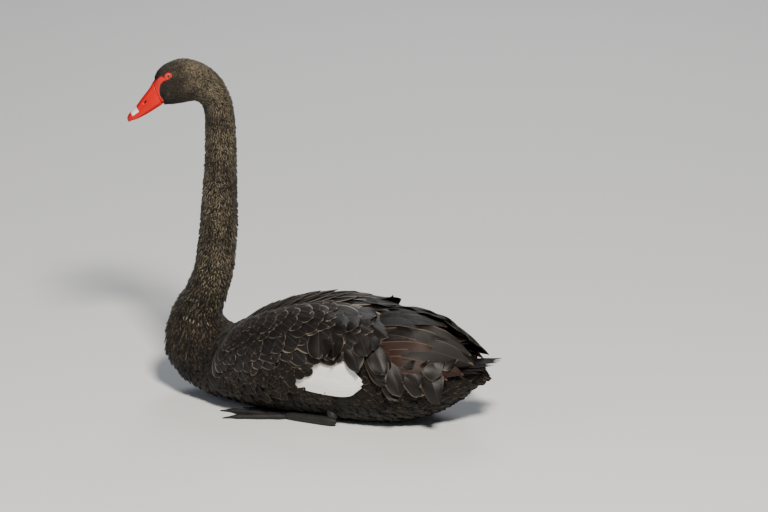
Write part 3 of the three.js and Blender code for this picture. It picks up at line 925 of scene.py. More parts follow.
@dataclass(frozen=True)
class Skin:
    """The one skin of trunk, neck and head, just inside the feathers and tucked under the bill's base."""

    rings: int = 420
    segments: int = 144
    trunk_inset: float = 2.0
    head_inset: float = 0.7
    inset_eases: tuple[float, float] = (14, 24)
    clearance: float = 0.1
    tuck: float = 1.9
    tuck_places: float = 1.3

    MOTTLE = (700, 4)
    DOWN = ((0.008, 0.006, 0.005), (0.03, 0.023, 0.017))
    BARE_MOTTLE = (420, 3)
    BARE_RED = ((0.72, 0.006, 0.001), (0.58, 0.002, 0.001))
    PORES = (1400, 4)
    PORE_BUMP = (0.25, 0.0005)
    DOWN_ROUGHNESS = 0.8
    BARE_ROUGHNESS = 0.42

    def material(self) -> bpy.types.Material:
        """Make dark down, and bare red skin where the mesh says so.

        Returns:
            The material.
        """
        s = Shader("skin")
        down = s.mix(s.noise(*self.MOTTLE), *self.DOWN)
        red = s.mix(s.noise(*self.BARE_MOTTLE), *self.BARE_RED)
        bare = s.attribute("bare")
        s.bump(s.noise(*self.PORES), *self.PORE_BUMP)
        roughness = s.ramp(bare, 0, 1, self.DOWN_ROUGHNESS, self.BARE_ROUGHNESS)
        return s.finish(s.mix(bare, down, red), roughness)

    def build(self) -> bpy.types.Object:
        """Build the skin.

        Returns:
            The piece.
        """
        places = np.linspace(0, LAST_PLACE, self.rings + 1)
        angles = np.linspace(0, 2 * math.pi, self.segments, endpoint=False)
        p, a = np.meshgrid(places, angles, indexing="ij")
        inset = -self.trunk_inset + (self.trunk_inset - self.head_inset) * smoothstep(p, *self.inset_eases)
        bare = bareness(BODY.point(p, a))
        tuck = self.tuck * smoothstep(p, LAST_PLACE - self.tuck_places, LAST_PLACE)
        points = BODY.point(p, a, inset * (1 - bare) - self.clearance - tuck)
        faces, uv, cap_uv = capped_loft(self.rings, self.segments, bake_place(p, a).reshape(-1, 2))
        wrapped = (uv[..., 0].max(axis=1) - uv[..., 0].min(axis=1)) > 0.5
        across = uv[wrapped, :, 0]
        uv[wrapped, :, 0] = np.where(across < 0.5, across + BAKE_SPAN, across)
        return build_mesh(
            "skin",
            points,
            faces,
            self.material(),
            ("torso", "neck_lower", "neck_middle", "neck_upper", "head"),
            {"OFBake": np.concatenate([uv.reshape(-1, 2), cap_uv])},
            {"bare": bare},
        )


# Where the wings lie: distances along the flank and angles round the body.
WING_FRONT = 104.0
WING_REAR = 520.0
WING_TOP = 0.14
WING_LOW = 1.38
WING_THICK = 13.0
WING_SQUARENESS = 4

# The wing's lower edge lies higher where the white feathers show below it.
WHITE_SHOWS = (240, 300)
WHITE_RISE = 0.2


def wing_low(distance: Array) -> Array:
    """Tell where the wing's lower edge is."""
    return WING_LOW - WHITE_RISE * smoothstep(distance, *WHITE_SHOWS)


def wing_run(distance: Array) -> Array:
    """Turn a distance into a share of the wing's length, from -1 at its front to 1 at its rear."""
    return 2 * (np.asarray(distance, float) - WING_FRONT) / (WING_REAR - WING_FRONT) - 1


def wing_lift(distance: Array, angle: Array) -> Array:
    """Tell how far the folded wing stands off the body.

    Args:
        distance: Distances along the flank.
        angle: Angles round the body, in radians.

    Returns:
        Heights, in millimetres.
    """
    turn = 2 * (np.asarray(angle, float) - WING_TOP) / (wing_low(distance) - WING_TOP) - 1
    lengthwise = np.clip(1 - wing_run(distance) ** WING_SQUARENESS, 0, 1)
    return WING_THICK * np.sqrt(lengthwise * np.clip(1 - turn**WING_SQUARENESS, 0, 1))


@dataclass(frozen=True)
class CoatTone:
    """How light the small feathers are: a draw for each, paler and darker stretches, and soft patches.

    Painted light makes the back of the head and the nape pale, and painted shade darkens the crown and the
    face and the foot of the neck; the upper breast is lighter. Places count SECTIONS, and the crown's range
    is in millimetres ahead of the eye.
    """

    spread: float = 0.34
    least: float = 0.35
    most: float = 2.0
    head_from: float = 22
    # Painted light pales the back of the head, and painted shade darkens it towards the face over the crown's
    # range.
    nape: float = 1.4
    face_painted_shade: float = 0.8
    crown: tuple[float, float] = (-48, 8)
    neck_foot: float = 13.6
    # Painted shade darkens the foot of the neck over the neck's range of places.
    neck_foot_painted_shade: float = 0.5
    neck: tuple[float, float] = (13.2, 16.6)
    breast_light: float = 0.7
    breast_from: float = 9.5
    patches: float = 0.28
    patch_waves: tuple[float, float] = (2.3, 3)
    patch_turns: tuple[int, int] = (2, 3)
    patch_drift: float = 1.1

    def draw(self, place: Array, angle: Array, rng: np.random.Generator) -> Array:
        """Draw the tones.

        Args:
            place: Where the roots are along SECTIONS.
            angle: Their angles round the body.
            rng: Where the draws come from.

        Returns:
            One tone for each root.
        """
        tone = np.clip(rng.normal(1.0, self.spread, len(place)), self.least, self.most)
        forward, _ = head_place(BODY.point(place, angle))
        # Painted light at the back of the head, painted shade towards the face.
        head = self.nape - self.face_painted_shade * smoothstep(forward, *self.crown)
        tone = tone * np.where(place > self.head_from, head, 1.0)
        # Painted shade at the foot of the neck.
        shade = self.neck_foot_painted_shade * (1 - smoothstep(place, *self.neck)) * (place > self.neck_foot)
        light = self.breast_light * smoothstep(place, self.breast_from, self.neck_foot)
        light = light * (place < self.neck_foot)
        tone = tone * (1 - shade + light)
        wave, bend = self.patch_waves
        twice, thrice = self.patch_turns
        lengthwise = np.sin(wave * place + bend * np.sin(twice * angle))
        around = np.sin(thrice * angle + self.patch_drift * place)
        return tone * (1 + self.patches * lengthwise * around)


COAT_TONE = CoatTone()


@dataclass(frozen=True)
class CoatZone:
    """A length of the body whose small feathers are joined into one piece."""

    name: str
    finish: Finish
    from_place: float
    to_place: float
    start_size: float
    end_size: float
    breadth: float
    row_step: float
    rows: int
    columns: int
    lift: float
    ruffle: float
    seed: int

    SPINE_SAMPLES = 600
    LEAST_IN_ROW = 8
    SPACING = 0.72
    PLACE_JITTER = 0.012
    ANGLE_JITTER = 0.02
    END_GAP = 0.05
    LOWEST_ROOT = 1.5
    LOWEST_POINT = 0.4
    MOST_BARE = 0.3
    LENGTH_RANGE = (0.85, 1.2)
    WIDTH_RANGE = (0.85, 1.15)
    LIFT_RANGE = (0.2, 1.0)
    SUNK = 1.2
    SUNK_BY_SIZE = 0.03

    def rings(self) -> tuple[Array, Array, Array]:
        """Set out the roots row by row, each row half a feather on from the last.

        Returns:
            The roots' places, angles and sizes.
        """
        fine = np.linspace(self.from_place, self.to_place, self.SPINE_SAMPLES)
        top, bottom = (BODY.point(fine, np.full_like(fine, angle)) for angle in (0.0, math.pi))
        spine = top * 0.5 + bottom * 0.5
        run = np.concatenate([[0], np.cumsum(np.linalg.norm(np.diff(spine, axis=0), axis=1))])
        places, angles, sizes = [], [], []
        at, row = 0.0, 0
        while at < run[-1]:
            size = self.start_size + (self.end_size - self.start_size) * (at / run[-1])
            place = float(np.interp(at, run, fine))
            around = 2 * math.pi * float(BODY.round_radius(np.array(place)))
            count = max(self.LEAST_IN_ROW, int(around / (size * self.breadth * self.SPACING)))
            places.append(np.full(count, place))
            angles.append((np.arange(count) + 0.5 * (row % 2)) * 2 * math.pi / count)
            sizes.append(np.full(count, size))
            at += size * self.row_step
            row += 1
        return np.concatenate(places), np.concatenate(angles), np.concatenate(sizes)

    def build(self) -> bpy.types.Object:
        """Lay the feathers.

        Returns:
            The piece.
        """
        rng = np.random.default_rng(self.seed)
        place, angle, size = self.rings()
        place = place + rng.normal(0, self.PLACE_JITTER, len(place))
        place = np.clip(place, self.END_GAP, LAST_PLACE - self.END_GAP)
        angle = angle + rng.normal(0, self.ANGLE_JITTER, len(angle))
        here = BODY.point(place, angle)
        keep = (here[:, 2] > self.LOWEST_ROOT) & (bareness(here) < self.MOST_BARE) & ~under_wing(place, angle)
        place, angle, size, n = place[keep], angle[keep], size[keep], int(keep.sum())
        feathers = SmallFeathers(
            place,
            angle,
            size * rng.uniform(*self.LENGTH_RANGE, n),
            size * self.breadth * rng.uniform(*self.WIDTH_RANGE, n),
            rng.normal(0, self.ruffle, n),
            self.SUNK + self.SUNK_BY_SIZE * self.start_size,
            self.lift * size * rng.uniform(*self.LIFT_RANGE, n),
        )
        plumage = Plumage(self.name, self.finish, self.rows, self.columns)
        points = feathers.points(self.rows, self.columns)
        points[..., 2] = np.maximum(points[..., 2], self.LOWEST_POINT)
        plumage.add(points, COAT_TONE.draw(place, angle, rng), bake_place(place, angle))
        return plumage.finish_piece()


# No small feathers grow well under a wing: distances along the flank, and angles from the back.
COVERED_DISTANCES = (150, 470)
COVERED_ANGLES = (0.32, 1.15)


def under_wing(place: Array, angle: Array) -> Array:
    """Tell which roots lie well under a wing.

    Args:
        place: Where the roots are along SECTIONS.
        angle: Their angles round the body.

    Returns:
        True for each that does.
    """
    distance = np.interp(-place, -BODY.flank_places, BODY.flank_distances)
    turn = np.minimum(np.mod(angle, 2 * math.pi), 2 * math.pi - np.mod(angle, 2 * math.pi))
    along = (distance > COVERED_DISTANCES[0]) & (distance < COVERED_DISTANCES[1])
    return along & (turn > COVERED_ANGLES[0]) & (turn < COVERED_ANGLES[1]) & (place < NECK_ROOT_PLACE)


COAT = (
    CoatZone("coat_rump", Finish.BREAST, 0.3, 4.0, 20, 24, 0.66, 0.3, 6, 4, 0.16, 0.2, 3),
    CoatZone("coat_trunk", Finish.BREAST, 4.0, 9.6, 25, 18, 0.66, 0.32, 6, 4, 0.15, 0.2, 4),
    CoatZone("coat_breast", Finish.BREAST, 9.6, 13.6, 17, 12, 0.6, 0.32, 5, 3, 0.2, 0.28, 5),
    CoatZone("coat_neck_foot", Finish.NECK, 13.6, 16.2, 12, 10, 0.66, 0.34, 4, 3, 0.32, 0.34, 9),
    CoatZone("coat_neck", Finish.NECK, 16.2, 20.6, 9.6, 7.6, 0.66, 0.36, 3, 2, 0.38, 0.4, 6),
    CoatZone("coat_neck_top", Finish.NECK, 20.6, 24.2, 7.2, 4.6, 0.66, 0.38, 3, 2, 0.32, 0.4, 7),
    CoatZone("coat_head", Finish.HEAD, 24.2, 28.8, 4.6, 2.8, 0.62, 0.4, 2, 2, 0.28, 0.35, 8),
)


# The wings. In the plans below a line is an angle round the body, a distance runs back along the flank, a
# jitter is the spread of a normal draw and a range holds the ends of an even one.


MIDLINE_GAP = 0.3


@dataclass(frozen=True)
class WingBasePlan:
    """The dark body of the wing that the feathers grow from, a little smaller than the wing."""

    rows: int = 89
    columns: int = 49
    front_gap: float = 6
    rear_gap: float = 8
    reach: float = 0.97
    least_run: float = 0.02
    sunk: float = 2.2
    lowest: float = -1.0


@dataclass(frozen=True)
class CovertPlan:
    """The rounded feathers of the shoulder, the back and the wing, small at the front and broad behind."""

    rows: int = 10
    columns: int = 8
    lines: int = 12
    top_line: float = 0.07
    low_line: float = 1.32
    front: float = 116.0
    stagger: float = 5
    rear: float = 412
    rear_cuts: tuple[tuple[float, float, float], ...] = ((72, 0.25, 0.7), (40, 0.92, 1.05), (50, 1.05, 1.2))
    grown_at: float = 400
    step: float = 14.5
    step_growth: float = 13
    step_grows_from: float = 120
    distance_jitter: float = 1.6
    angle_jitter: float = 0.012
    slant: float = 0.42
    slant_by_line: float = 0.45
    slant_loss: float = 0.6
    slant_jitter: float = 0.05
    length: float = 42
    length_growth: float = 34
    back_length: float = 14
    back_lines: tuple[float, float] = (0.2, 0.6)
    length_range: tuple[float, float] = (0.92, 1.1)
    width: float = 22
    width_growth: float = 19
    width_range: tuple[float, float] = (0.92, 1.08)
    layer: float = 1.6
    layer_line: float = 1.3
    layer_top: float = 0.4
    root_ahead: float = 4
    root_sunk: float = 2.4
    tip_lower: float = 0.12
    tip_least: float = 5.5
    tip_above: float = 1.6
    tip_range: tuple[float, float] = (0, 1.6)
    curl_range: tuple[float, float] = (-1, 2.5)
    droop: float = 1.8
    ruffle: float = 0.6
    twist_jitter: float = 0.05
    tone_jitter: float = 0.16
    tone_limits: tuple[float, float] = (0.6, 1.5)
    # Painted highlight: the upper coverts towards the back are made lighter, as where the sun catches their
    # tops.
    painted_highlight: float = 0.5
    highlight_lines: tuple[float, float] = (0.3, 0.8)

    def spots(self, number: int, line: float) -> Array:
        """Tell how far back the feathers of one line stand.

        Args:
            number: The line's number, from the back down.
            line: Its angle.

        Returns:
            The distances, before any jitter.
        """
        rear = self.rear
        for cut, start, end in self.rear_cuts:
            rear = rear - cut * smoothstep(line, start, end)
        distance = self.front + (self.stagger if number % 2 else 0)
        spots = []
        while distance < rear:
            spots.append(distance)
            growth = float(smoothstep(distance, self.step_grows_from, self.grown_at))
            distance += self.step + self.step_growth * growth
        return np.array(spots)


@dataclass(frozen=True)
class FlankPlan:
    """The loose feathers of the flank, which lie over the roots of the white flight feathers."""

    rows: int = 8
    columns: int = 6
    lines: int = 7
    top_line: float = 1.3
    low_line: float = 1.86
    front: float = 112.0
    stagger: float = 6
    rear: float = 294
    rear_slope: float = 76
    step: float = 12.0
    distance_jitter: float = 2.5
    angle_jitter: float = 0.02
    length: float = 36
    length_range: tuple[float, float] = (0.8, 1.2)
    width: float = 20
    width_range: tuple[float, float] = (0.85, 1.15)
    slant: float = 0.3
    slant_jitter: float = 0.16
    tip: float = 9
    tip_range: tuple[float, float] = (0, 2)
    root: float = -1
    root_raised: float = 7
    raised: tuple[float, float] = (232, 256)
    droop: float = 1.2
    ruffle: float = 1.4
    tone: float = 1.1
    tone_jitter: float = 0.3
    tone_limits: tuple[float, float] = (0.5, 1.8)


@dataclass(frozen=True)
class CurledTier:
    """One tier of curled feathers: how far back it grows, its first and last line, and how many it has."""

    distance: float
    first: float
    last: float
    count: int


@dataclass(frozen=True)
class CurledPlan:
    """The broad, curled feathers behind the coverts, tier over tier, the foremost on top."""

    tiers: tuple[CurledTier, ...] = (
        CurledTier(502, 0.2, 0.8, 4),
        CurledTier(474, 0.16, 0.9, 5),
        CurledTier(444, 0.16, 1.02, 6),
        CurledTier(412, 0.16, 0.96, 6),
        CurledTier(380, 0.2, 0.76, 5),
        CurledTier(348, 0.3, 0.7, 4),
        CurledTier(316, 0.45, 0.72, 3),
    )
    rows: int = 16
    columns: int = 12
    angle_jitter: float = 0.02
    bow: float = 22
    bow_line: float = 0.6
    distance_jitter: float = 5
    low_lines: tuple[float, float] = (0.25, 0.7)
    slant: float = 0.12
    low_slant: float = 0.72
    slant_loss: float = 0.5
    rear: tuple[float, float] = (440, 500)
    slant_jitter: float = 0.14
    length: float = 66
    length_range: tuple[float, float] = (0.88, 1.12)
    width: float = 41
    width_range: tuple[float, float] = (0.9, 1.1)
    base_ahead: float = 10
    base_rear: float = 480
    base_lines: tuple[float, float] = (0.2, 1.2)
    base_rise: float = 9
    base_rises: tuple[float, float] = (462, 500)
    root_sunk: float = 2
    tip: float = 5
    tip_draw: float = 2
    low_tip_draw: float = 4
    tip_rise: float = 3
    tip_rises: tuple[float, float] = (440, 475)
    curl: float = 3
    low_curl: float = 8
    twist_jitter: float = 0.1
    low_twist_jitter: float = 0.2
    droop: float = 3.6
    ruffle: float = 2.8
    tone_range: tuple[float, float] = (0.75, 1.35)


@dataclass(frozen=True)
class Tertial:
    """A long, broad wing feather that leaves the wing and curls over the rump."""

    root: tuple[float, float, float]
    middle: tuple[float, float, float]
    tip: tuple[float, float, float]
    lean: float
    width: float
    curl: float

    def blend(self, key: str, other: "Tertial", share: float) -> Array:
        """Blend one of its values with another feather's.

        Args:
            key: The value's name.
            other: The other feather.
            share: How much of the other's.

        Returns:
            The blended value.
        """
        return np.array(getattr(self, key)) * (1 - share) + np.array(getattr(other, key)) * share


TERTIALS = (
    Tertial((128, -98, 104), (206, -90, 112), (268, -62, 100), 1.4, 40, 4),
    Tertial((122, -92, 124), (214, -84, 132), (290, -44, 106), 1.2, 44, 5),
    Tertial((112, -78, 146), (212, -70, 154), (304, -30, 118), 0.9, 46, 6),
    Tertial((106, -60, 160), (206, -52, 172), (294, -22, 132), 0.65, 46, 7),
    Tertial((100, -44, 167), (192, -37, 184), (272, -16, 150), 0.4, 46, 8),
    Tertial((96, -28, 171), (174, -22, 191), (246, -13, 172), 0.2, 42, 7),
)


@dataclass(frozen=True)
class TertialPlan:
    """How the long feathers are shaped. A shorter one lies between each two of TERTIALS, a little higher."""

    rows: int = 22
    columns: int = 12
    rusty: int = 4
    between_step: float = 0.5
    shorter: float = 0.86
    shorter_middle: float = 0.93
    shorter_raised: float = 2.5
    tip_round: float = 0.06
    droop: float = 5
    wave: float = 4.6
    wave_turns: float = 6.5
    wave_grows: tuple[float, float] = (0.25, 0.8)
    frill: float = 1.3
    frill_turns: float = 17
    curl_from: float = 0.6
    curl_gain: float = 4
    midline_gap: float = 0.4
    tone_range: tuple[float, float] = (0.8, 1.3)
    root_x: tuple[float, ...] = (205, 140, 60)
    root_distance: tuple[float, ...] = (486, 417, 337)
    bake_step: float = 9

    def shape(self, low: Tertial, high: Tertial, share: float, phase: float) -> Array:
        """Bend one vane along its curve, ruffled and curled.

        Args:
            low: The feather below it.
            high: The feather above it.
            share: How far it is from the one to the other, 0 for low itself.
            phase: Where its ruffles start.

        Returns:
            Its vertices, as (1, rows + 1, columns + 1, 3).
        """
        t, a = vane_grid(self.rows, self.columns)
        root, middle, tip = (low.blend(key, high, share) for key in ("root", "middle", "tip"))
        lean, width, curl = (float(low.blend(key, high, share)) for key in ("lean", "width", "curl"))
        tip = root + (tip - root) * (self.shorter if share else 1.0)
        middle = root + (middle - root) * (self.shorter_middle if share else 1)
        control = 2 * middle - (root + tip) / 2
        along = (t * (1 - self.tip_round * a * a))[..., None]
        spine = (1 - along) ** 2 * root + 2 * along * (1 - along) * control + along**2 * tip
        tangent = unit(2 * (1 - along) * (control - root) + 2 * along * (tip - control))
        side = unit(np.cross(tangent, np.array([0, -math.sin(lean), math.cos(lean)])))
        normal = np.cross(side, tangent)
        w = a * width / 2 * vane_width(t)
        wave = self.wave * a * np.sin(self.wave_turns * t + phase) * smoothstep(t, *self.wave_grows)
        wave = wave + self.frill * np.sin(self.frill_turns * t + 3 * a + phase) * np.abs(a) * t
        curled = curl * np.maximum(0, t - self.curl_from) ** 2 * self.curl_gain
        rise = -self.droop * a * a * t + wave + curled + (self.shorter_raised if share else 0)
        points = spine + side * w[..., None] + normal * rise[..., None]
        points[..., 1] = np.minimum(points[..., 1], -self.midline_gap)
        return points[None]


@dataclass(frozen=True)
class FlightPlan:
    """The white flight feathers below the wing. Each value is followed by its step to the next feather."""

    rows: int = 20
    columns: int = 10
    count: int = 6
    angle: float = 1.32
    angle_step: float = 0.07
    distance: float = 276.0
    distance_step: float = 3
    length: float = 131
    length_fall: float = 2.2
    longest: float = 2.2
    slant: float = 0.03
    slant_step: float = -0.01
    width: float = 34
    root: float = 3.2
    tip: float = 7.2
    height_step: float = -0.4
    droop: float = 0.6
    ruffle: float = 0.5
    phase_step: float = 1.3
    tone_range: tuple[float, float] = (0.94, 1.04)


@dataclass
class Wing:
    """One folded wing, built for the left side and mirrored for the right."""

    side: str
    seed: int
    base_plan: WingBasePlan = WingBasePlan()
    covert_plan: CovertPlan = CovertPlan()
    flank_plan: FlankPlan = FlankPlan()
    curled_plan: CurledPlan = CurledPlan()
    tertial_plan: TertialPlan = TertialPlan()
    flight_plan: FlightPlan = FlightPlan()
    rng: np.random.Generator = field(init=False)

    def __post_init__(self) -> None:
        """Start this wing's own draws."""
        self.rng = np.random.default_rng(self.seed)

    def placed(self, points: Array) -> Array:
        """Keep the left wing where it is, and mirror the right one."""
        return points if self.side == "left" else points * np.array([1, -1, 1])

    def roots(self, distance: Array, angle: Array) -> Array:
        """Find where roots lie on the skin's unwrap."""
        turn = angle if self.side == "left" else -np.asarray(angle)
        return bake_place(BODY.place_at(distance), turn)

    def base(self, material: bpy.types.Material) -> bpy.types.Object:
        """Build the dark body of the wing.

        Args:
            material: Its finish.

        Returns:
            The piece.
        """
        plan = self.base_plan
        lengthwise = np.linspace(WING_FRONT + plan.front_gap, WING_REAR - plan.rear_gap, plan.rows + 1)
        crosswise = np.linspace(-plan.reach, plan.reach, plan.columns + 1)
        distance, across = np.meshgrid(lengthwise, crosswise, indexing="ij")
        run = np.clip(1 - wing_run(distance) ** WING_SQUARENESS, plan.least_run, 1) ** 0.5
        low = wing_low(distance)
        angle = (WING_TOP + low) / 2 + across * run * (low - WING_TOP) / 2
        margin = np.maximum(wing_lift(distance, angle) - plan.sunk, plan.lowest)
        points = self.placed(BODY.point(BODY.place_at(distance), angle, margin))
        faces = grid_faces(plan.rows, plan.columns)
        uvs = {"OFBake": self.roots(distance.ravel(), angle.ravel())[faces]}
        return build_mesh(f"wing_base_{self.side}", points, faces, material, (), uvs)

    def coverts(self) -> bpy.types.Object:
        """Build the coverts.

        Returns:
            The piece.
        """
        plan, rng = self.covert_plan, self.rng
        plumage = Plumage(f"coverts_{self.side}", Finish.COVERT, plan.rows, plan.columns)
        for number, line in enumerate(np.linspace(plan.top_line, plan.low_line, plan.lines)):
            spots = plan.spots(number, line)
            n = len(spots)
            at = spots + rng.normal(0, plan.distance_jitter, n)
            share = smoothstep(at, plan.front, plan.grown_at)
            angle = line + rng.normal(0, plan.angle_jitter, n)
            slant = (plan.slant + plan.slant_by_line * line) * (1 - plan.slant_loss * share)
            slant = slant + rng.normal(0, plan.slant_jitter, n)
            growth = plan.length_growth + plan.back_length * (1 - smoothstep(line, *plan.back_lines))
            length = (plan.length + growth * share) * rng.uniform(*plan.length_range, n)
            width = (plan.width + plan.width_growth * share) * rng.uniform(*plan.width_range, n)
            layer = plan.layer * (plan.layer_line - max(line, plan.layer_top))
            root = wing_lift(at + plan.root_ahead, line) - plan.root_sunk
            under_tip = wing_lift(at + length, np.minimum(line + plan.tip_lower, WING_LOW))
            tip = np.maximum(under_tip, plan.tip_least) + plan.tip_above + layer
            tip = tip + rng.uniform(*plan.tip_range, n)
            curl = rng.uniform(*plan.curl_range, n) * share
            phase = rng.uniform(0, PHASES, n)
            twist = rng.normal(0, plan.twist_jitter, n)
            feathers = LargeFeathers(
                at, angle, slant, length, width, root, tip, plan.droop, plan.ruffle, phase, curl, twist
            )
            tone = np.clip(rng.normal(1, plan.tone_jitter, n), *plan.tone_limits)
            # Painted highlight on the upper coverts of the back.
            tone = tone * (1 + plan.painted_highlight * share * (1 - smoothstep(line, *plan.highlight_lines)))
            self.lay(plumage, feathers, tone, MIDLINE_GAP)
        return plumage.finish_piece()

    def lay(
        self, plumage: Plumage, feathers: LargeFeathers, tone: Array, midline_gap: float | None = None
    ) -> None:
        """Add feathers on this wing's side.

        Args:
            plumage: The piece that they belong to.
            feathers: The feathers.
            tone: How light each is.
            midline_gap: How far they keep from the bird's middle plane, where they could reach it.
        """
        points = feathers.points(plumage.rows, plumage.columns)
        if midline_gap is not None:
            points[..., 1] = np.minimum(points[..., 1], -midline_gap)
        roots = self.roots(feathers.distance, feathers.angle)
        plumage.add(self.placed(points), tone, roots)

    def flank(self) -> bpy.types.Object:
        """Build the loose feathers of the flank.

        Returns:
            The piece.
        """
        plan, rng = self.flank_plan, self.rng
        plumage = Plumage(f"flank_{self.side}", Finish.BREAST, plan.rows, plan.columns)
        for number, line in enumerate(np.linspace(plan.top_line, plan.low_line, plan.lines)):
            front = plan.front + plan.stagger * (number % 2)
            at = np.arange(front, plan.rear - plan.rear_slope * (line - plan.top_line), plan.step)
            n = len(at)
            at = at + rng.normal(0, plan.distance_jitter, n)
            length = plan.length * rng.uniform(*plan.length_range, n)
            width = plan.width * rng.uniform(*plan.width_range, n)
            slant = plan.slant + rng.normal(0, plan.slant_jitter, n)
            tip = plan.tip + rng.uniform(*plan.tip_range, n)
            root = plan.root_raised * smoothstep(at, *plan.raised) + plan.root
            angle = line + rng.normal(0, plan.angle_jitter, n)
            phase = rng.uniform(0, PHASES, n)
            feathers = LargeFeathers(
                at, angle, slant, length, width, root, tip, plan.droop, plan.ruffle, phase
            )
            tone = np.clip(rng.normal(plan.tone, plan.tone_jitter, n), *plan.tone_limits)
            points = feathers.points(plan.rows, plan.columns)
            plumage.add(self.placed(points), tone, self.roots(at, np.full(n, line)))
        return plumage.finish_piece()

    def curled(self) -> bpy.types.Object:
        """Build the curled feathers.

        Returns:
            The piece.
        """
        plan, rng = self.curled_plan, self.rng
        plumage = Plumage(f"curled_{self.side}", Finish.CURLED, plan.rows, plan.columns)
        for tier in plan.tiers:
            n = tier.count
            angle = np.linspace(tier.first, tier.last, n) + rng.normal(0, plan.angle_jitter, n)
            at = tier.distance - plan.bow * (angle - plan.bow_line) ** 2
            at = at + rng.normal(0, plan.distance_jitter, n)
            low = smoothstep(angle, *plan.low_lines)
            slant = plan.slant + plan.low_slant * low * (1 - plan.slant_loss * smoothstep(at, *plan.rear))
            slant = slant + rng.normal(0, plan.slant_jitter, n)
            length = plan.length * rng.uniform(*plan.length_range, n)
            width = plan.width * rng.uniform(*plan.width_range, n)
            ahead = np.minimum(at + plan.base_ahead, plan.base_rear)
            base = wing_lift(ahead, np.clip(angle, *plan.base_lines))
            base = base + plan.base_rise * smoothstep(at, *plan.base_rises)
            tip = base + plan.tip + (plan.tip_draw + plan.low_tip_draw * low) * rng.uniform(0, 1, n)
            tip = tip + plan.tip_rise * smoothstep(at, *plan.tip_rises)
            curl = rng.uniform(0, plan.curl + plan.low_curl * low, n)
            twist = rng.normal(0, plan.twist_jitter + plan.low_twist_jitter * low, n)
            phase = rng.uniform(0, PHASES, n)
            root = base - plan.root_sunk
            feathers = LargeFeathers(
                at, angle, slant, length, width, root, tip, plan.droop, plan.ruffle, phase, curl, twist
            )
            self.lay(plumage, feathers, rng.uniform(*plan.tone_range, n), MIDLINE_GAP)
        return plumage.finish_piece()

    def tertials(self) -> bpy.types.Object:
        """Build the long feathers that cross over the rump, the lowest ones rusty.

        Returns:
            The piece of dark ones.
        """
        plan, rng = self.tertial_plan, self.rng
        dark = Plumage(f"tertials_{self.side}", Finish.TERTIAL, plan.rows, plan.columns)
        rusty = Plumage(f"rusty_feathers_{self.side}", Finish.RUSTY, plan.rows, plan.columns)
        last = len(TERTIALS) - 1
        for order in range(int(last / plan.between_step) + 1):
            number, share = divmod(order * plan.between_step, 1)
            low, high = TERTIALS[int(number)], TERTIALS[min(int(number) + 1, last)]
            points = plan.shape(low, high, share, rng.uniform(0, PHASES))
            root = low.blend("root", high, share)
            distance = np.interp(-root[0], -np.array(plan.root_x), plan.root_distance)
            tone = np.array([rng.uniform(*plan.tone_range)])
            lean = np.array([float(low.blend("lean", high, share))])
            roots = self.roots(np.array([distance + plan.bake_step * order]), lean)
            (rusty if order < plan.rusty else dark).add(self.placed(points), tone, roots)
        rusty.finish_piece()
        return dark.finish_piece((f"wing_{self.side}",))

    def flight(self) -> bpy.types.Object:
        """Build the white flight feathers that show below the wing.

        Returns:
            The piece.
        """
        plan = self.flight_plan
        name = f"white_feathers_{self.side}"
        plumage = Plumage(name, Finish.WHITE, plan.rows, plan.columns, "plumage_white")
        order = np.arange(plan.count)
        feathers = LargeFeathers(
            plan.distance + plan.distance_step * order,
            plan.angle + plan.angle_step * order,
            plan.slant + plan.slant_step * order,
            plan.length - plan.length_fall * (order - plan.longest) ** 2,
            plan.width,
            plan.root + plan.height_step * order,
            plan.tip + plan.height_step * order,
            plan.droop,
            plan.ruffle,
            order * plan.phase_step,
        )
        self.lay(plumage, feathers, self.rng.uniform(*plan.tone_range, plan.count))
        return plumage.finish_piece((f"primaries_{self.side}",))

    def build(self, base_material: bpy.types.Material) -> None:
        """Build the whole wing.

        Args:
            base_material: The finish of its dark body.
        """
        self.base(base_material)
        self.coverts()
        self.flank()
        self.curled()
        self.tertials()
        self.flight()


